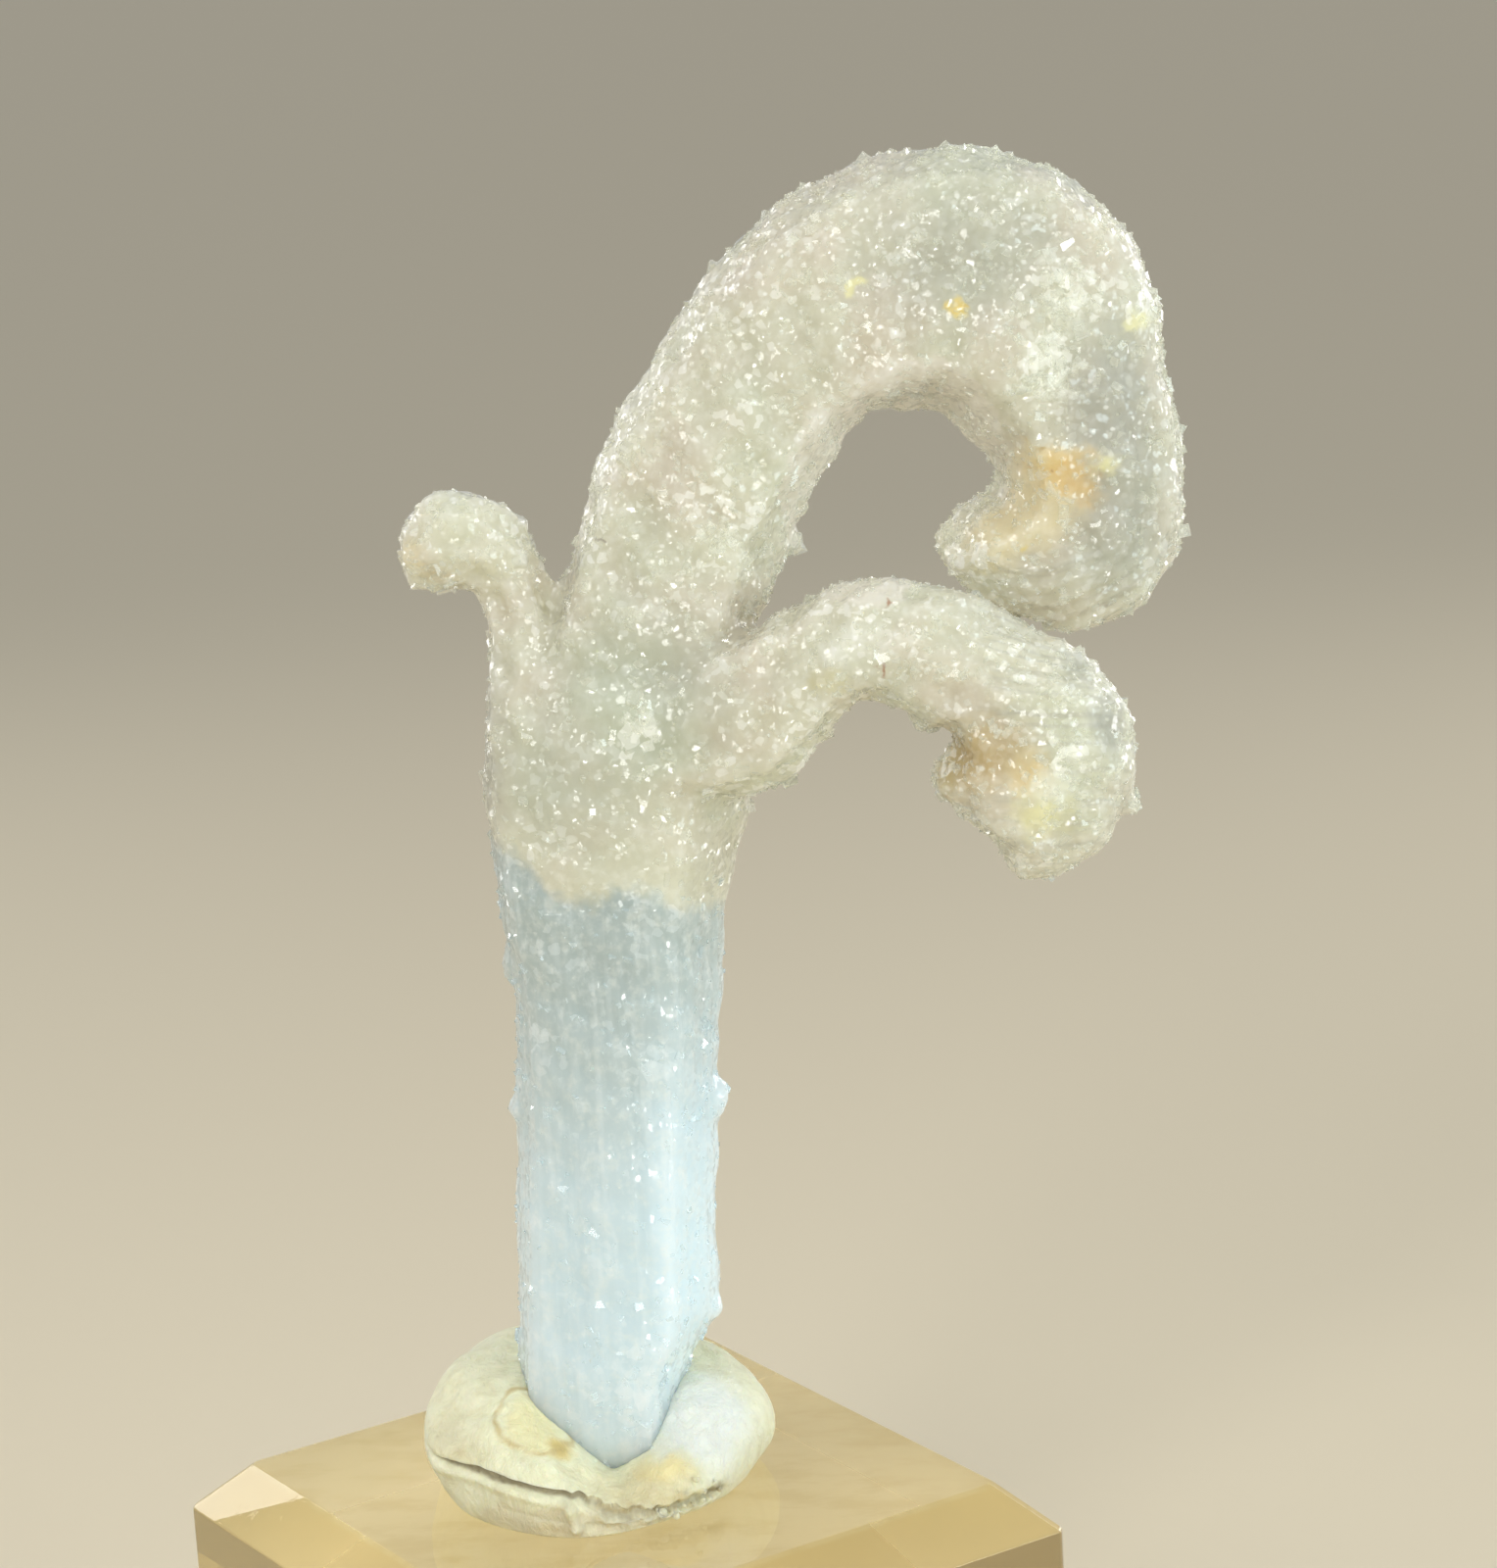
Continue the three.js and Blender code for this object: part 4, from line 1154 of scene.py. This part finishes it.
# ---- the acrylic block
ACRYLIC_CLEAR = (1.0, 1.0, 1.0, 1.0)
ACRYLIC_HAZE = (0.87, 0.83, 0.72, 1.0)
ACRYLIC_BEVEL = (0.88, 0.81, 0.66, 1.0)
ACRYLIC_SIDE_SHADE = (0.46, 0.42, 0.40, 1.0)
ACRYLIC_TINT = (1.0, 0.93, 0.60, 1.0)
ACRYLIC_DENSITY = 34.0
BEVEL_FOOT = 16.1
EDGE_ROUNDING = 0.18


def acrylic_material():
    """Clear cast acrylic, faintly yellowed, with fine scratches and painted shade on its side faces."""
    material, tree, shader = new_material("acrylic")
    absorption = add_node(tree, "VolumeAbsorption", {"Color": ACRYLIC_TINT, "Density": ACRYLIC_DENSITY})
    set_inputs(tree, tree.nodes["Material Output"], {"Volume": absorption.outputs[0]})
    place = place_in_mm(tree)
    scratches = grain(tree, stretched(tree, place, (0.25, 3.0, 3.0)), 1.0, 3.0)
    haze = grain(tree, stretched(tree, place, (0.22, 0.5, 0.22)), 1.0, 5.0, 0.65)
    colour = blend(tree, ramp(tree, haze, 0.42, 0.66), ACRYLIC_CLEAR, ACRYLIC_HAZE)
    height = along_axes(tree, place)["Z"]
    below_top = ramp(tree, height, BLOCK_TOP - 0.1, BLOCK_TOP - 0.3)
    colour = blend(tree, below_top, colour, ACRYLIC_BEVEL)
    # Painted shade: the side faces below the bevel darkened.
    below_bevel = ramp(tree, height, BEVEL_FOOT + 0.1, BEVEL_FOOT - 0.1)
    on_side = times(tree, below_bevel, ramp(tree, height, 0.2, 0.4))
    set_inputs(tree, shader, {
        "Base Color": blend(tree, on_side, colour, ACRYLIC_SIDE_SHADE),
        "Roughness": ramp(tree, scratches, 0.5, 0.75, 0.0, 0.05),
        "IOR": 1.49,
        "Transmission Weight": 1.0,
    })
    return material


block = bpy.data.objects["acrylic_block"]
block.data.materials.clear()
block.data.materials.append(acrylic_material())
block.visible_shadow = False
weld = block.modifiers.new("joined_corners", "WELD")
weld.merge_threshold = 0.01 * MM
edges = block.modifiers.new("polished_edges", "BEVEL")
edges.width = EDGE_ROUNDING * MM
edges.segments = 2
edges.angle_limit = math.radians(20)
edges.harden_normals = True


# ---- camera, floor and light
# The floor lies a little above the block's underside, hides its small chamfer and leaves no air between.
FLOOR_HEIGHT = 0.45


def photo_camera():
    """The camera that took the photograph, found from the block's edges."""
    tilt = Matrix.Rotation(math.radians(90 - CAMERA_PITCH), 4, "X")
    turn = tilt @ Matrix.Rotation(math.radians(CAMERA_ROLL), 4, "Z")
    place = (Vector(CAMERA_TARGET) + turn @ Vector((0, 0, CAMERA_DISTANCE))) * MM
    data = bpy.data.cameras.new("photo_camera")
    data.sensor_width = SENSOR_MM
    data.lens = FOCAL_PX * SENSOR_MM / FRAME_LONG_PX
    data.clip_start = 0.01
    data.clip_end = 20
    camera = add_object("photo_camera", data)
    camera.matrix_world = Matrix.Translation(place) @ turn
    bpy.context.scene.camera = camera


def lay_floor():
    """A plain pale floor, 12 m square."""
    half = 6.0
    height = FLOOR_HEIGHT * MM
    corners = [(x, y, height) for x, y in ((-half, -half), (half, -half), (half, half), (-half, half))]
    mesh = make_mesh("floor", corners, [(0, 1, 2, 3)])
    material, tree, shader = new_material("floor")
    set_inputs(tree, shader, {"Base Color": linear(222, 210, 184), "Roughness": 0.6})
    mesh.materials.append(material)
    floor = add_object("floor", mesh)


# The soft lamps: name, place and aim in metres, side in metres, watts, colour and spread in degrees.
LAMPS = [
    ("key", (-0.22, -0.44, 0.34), (0.01, 0.0, 0.06), 0.22, 0.34, (1.0, 0.985, 0.95), 100),
    ("window", (0.4, -0.2, 0.12), (0.0, 0.0, 0.03), 0.2, 0.2, (0.78, 0.93, 1.0), 100),
    ("fill", (0.2, -0.5, 0.06), (0.015, 0.0, 0.075), 0.1, 0.16, (1.0, 0.99, 0.97), 100),
    ("top", (0.0, -0.04, 0.45), (0.0, 0.0, 0.0), 0.16, 0.02, (1.0, 0.98, 0.95), 40),
    ("rim_left", (-0.3, 0.28, 0.16), (0.01, 0.0, 0.06), 0.18, 0.15, (1.0, 0.99, 0.97), 100),
    ("rim_right", (0.32, 0.28, 0.12), (0.01, 0.0, 0.06), 0.18, 0.17, (1.0, 0.99, 0.97), 100),
]
SKY_COLOUR = (0.95, 0.98, 1.0, 1.0)
SKY_STRENGTH = 0.47


def softbox(name, place, aim, size, watts, colour, spread):
    """A square soft light at a place, turned to shine on aim, not seen through the block."""
    data = bpy.data.lights.new(name, "AREA")
    data.shape = "SQUARE"
    data.size = size
    data.energy = watts
    data.color = colour
    data.spread = math.radians(spread)
    lamp = add_object(name, data)
    lamp.location = place
    lamp.rotation_euler = (Vector(aim) - Vector(place)).to_track_quat("-Z", "Y").to_euler()
    lamp.visible_transmission = False


def light_studio():
    """An even pale sky and the soft lamps."""
    world = bpy.data.worlds.new("studio")
    bpy.context.scene.world = world
    world.use_nodes = True
    background = world.node_tree.nodes["Background"]
    background.inputs["Color"].default_value = SKY_COLOUR
    background.inputs["Strength"].default_value = SKY_STRENGTH
    for lamp in LAMPS:
        softbox(*lamp)
    bpy.context.scene.view_settings.view_transform = "Standard"


photo_camera()
lay_floor()
light_studio()
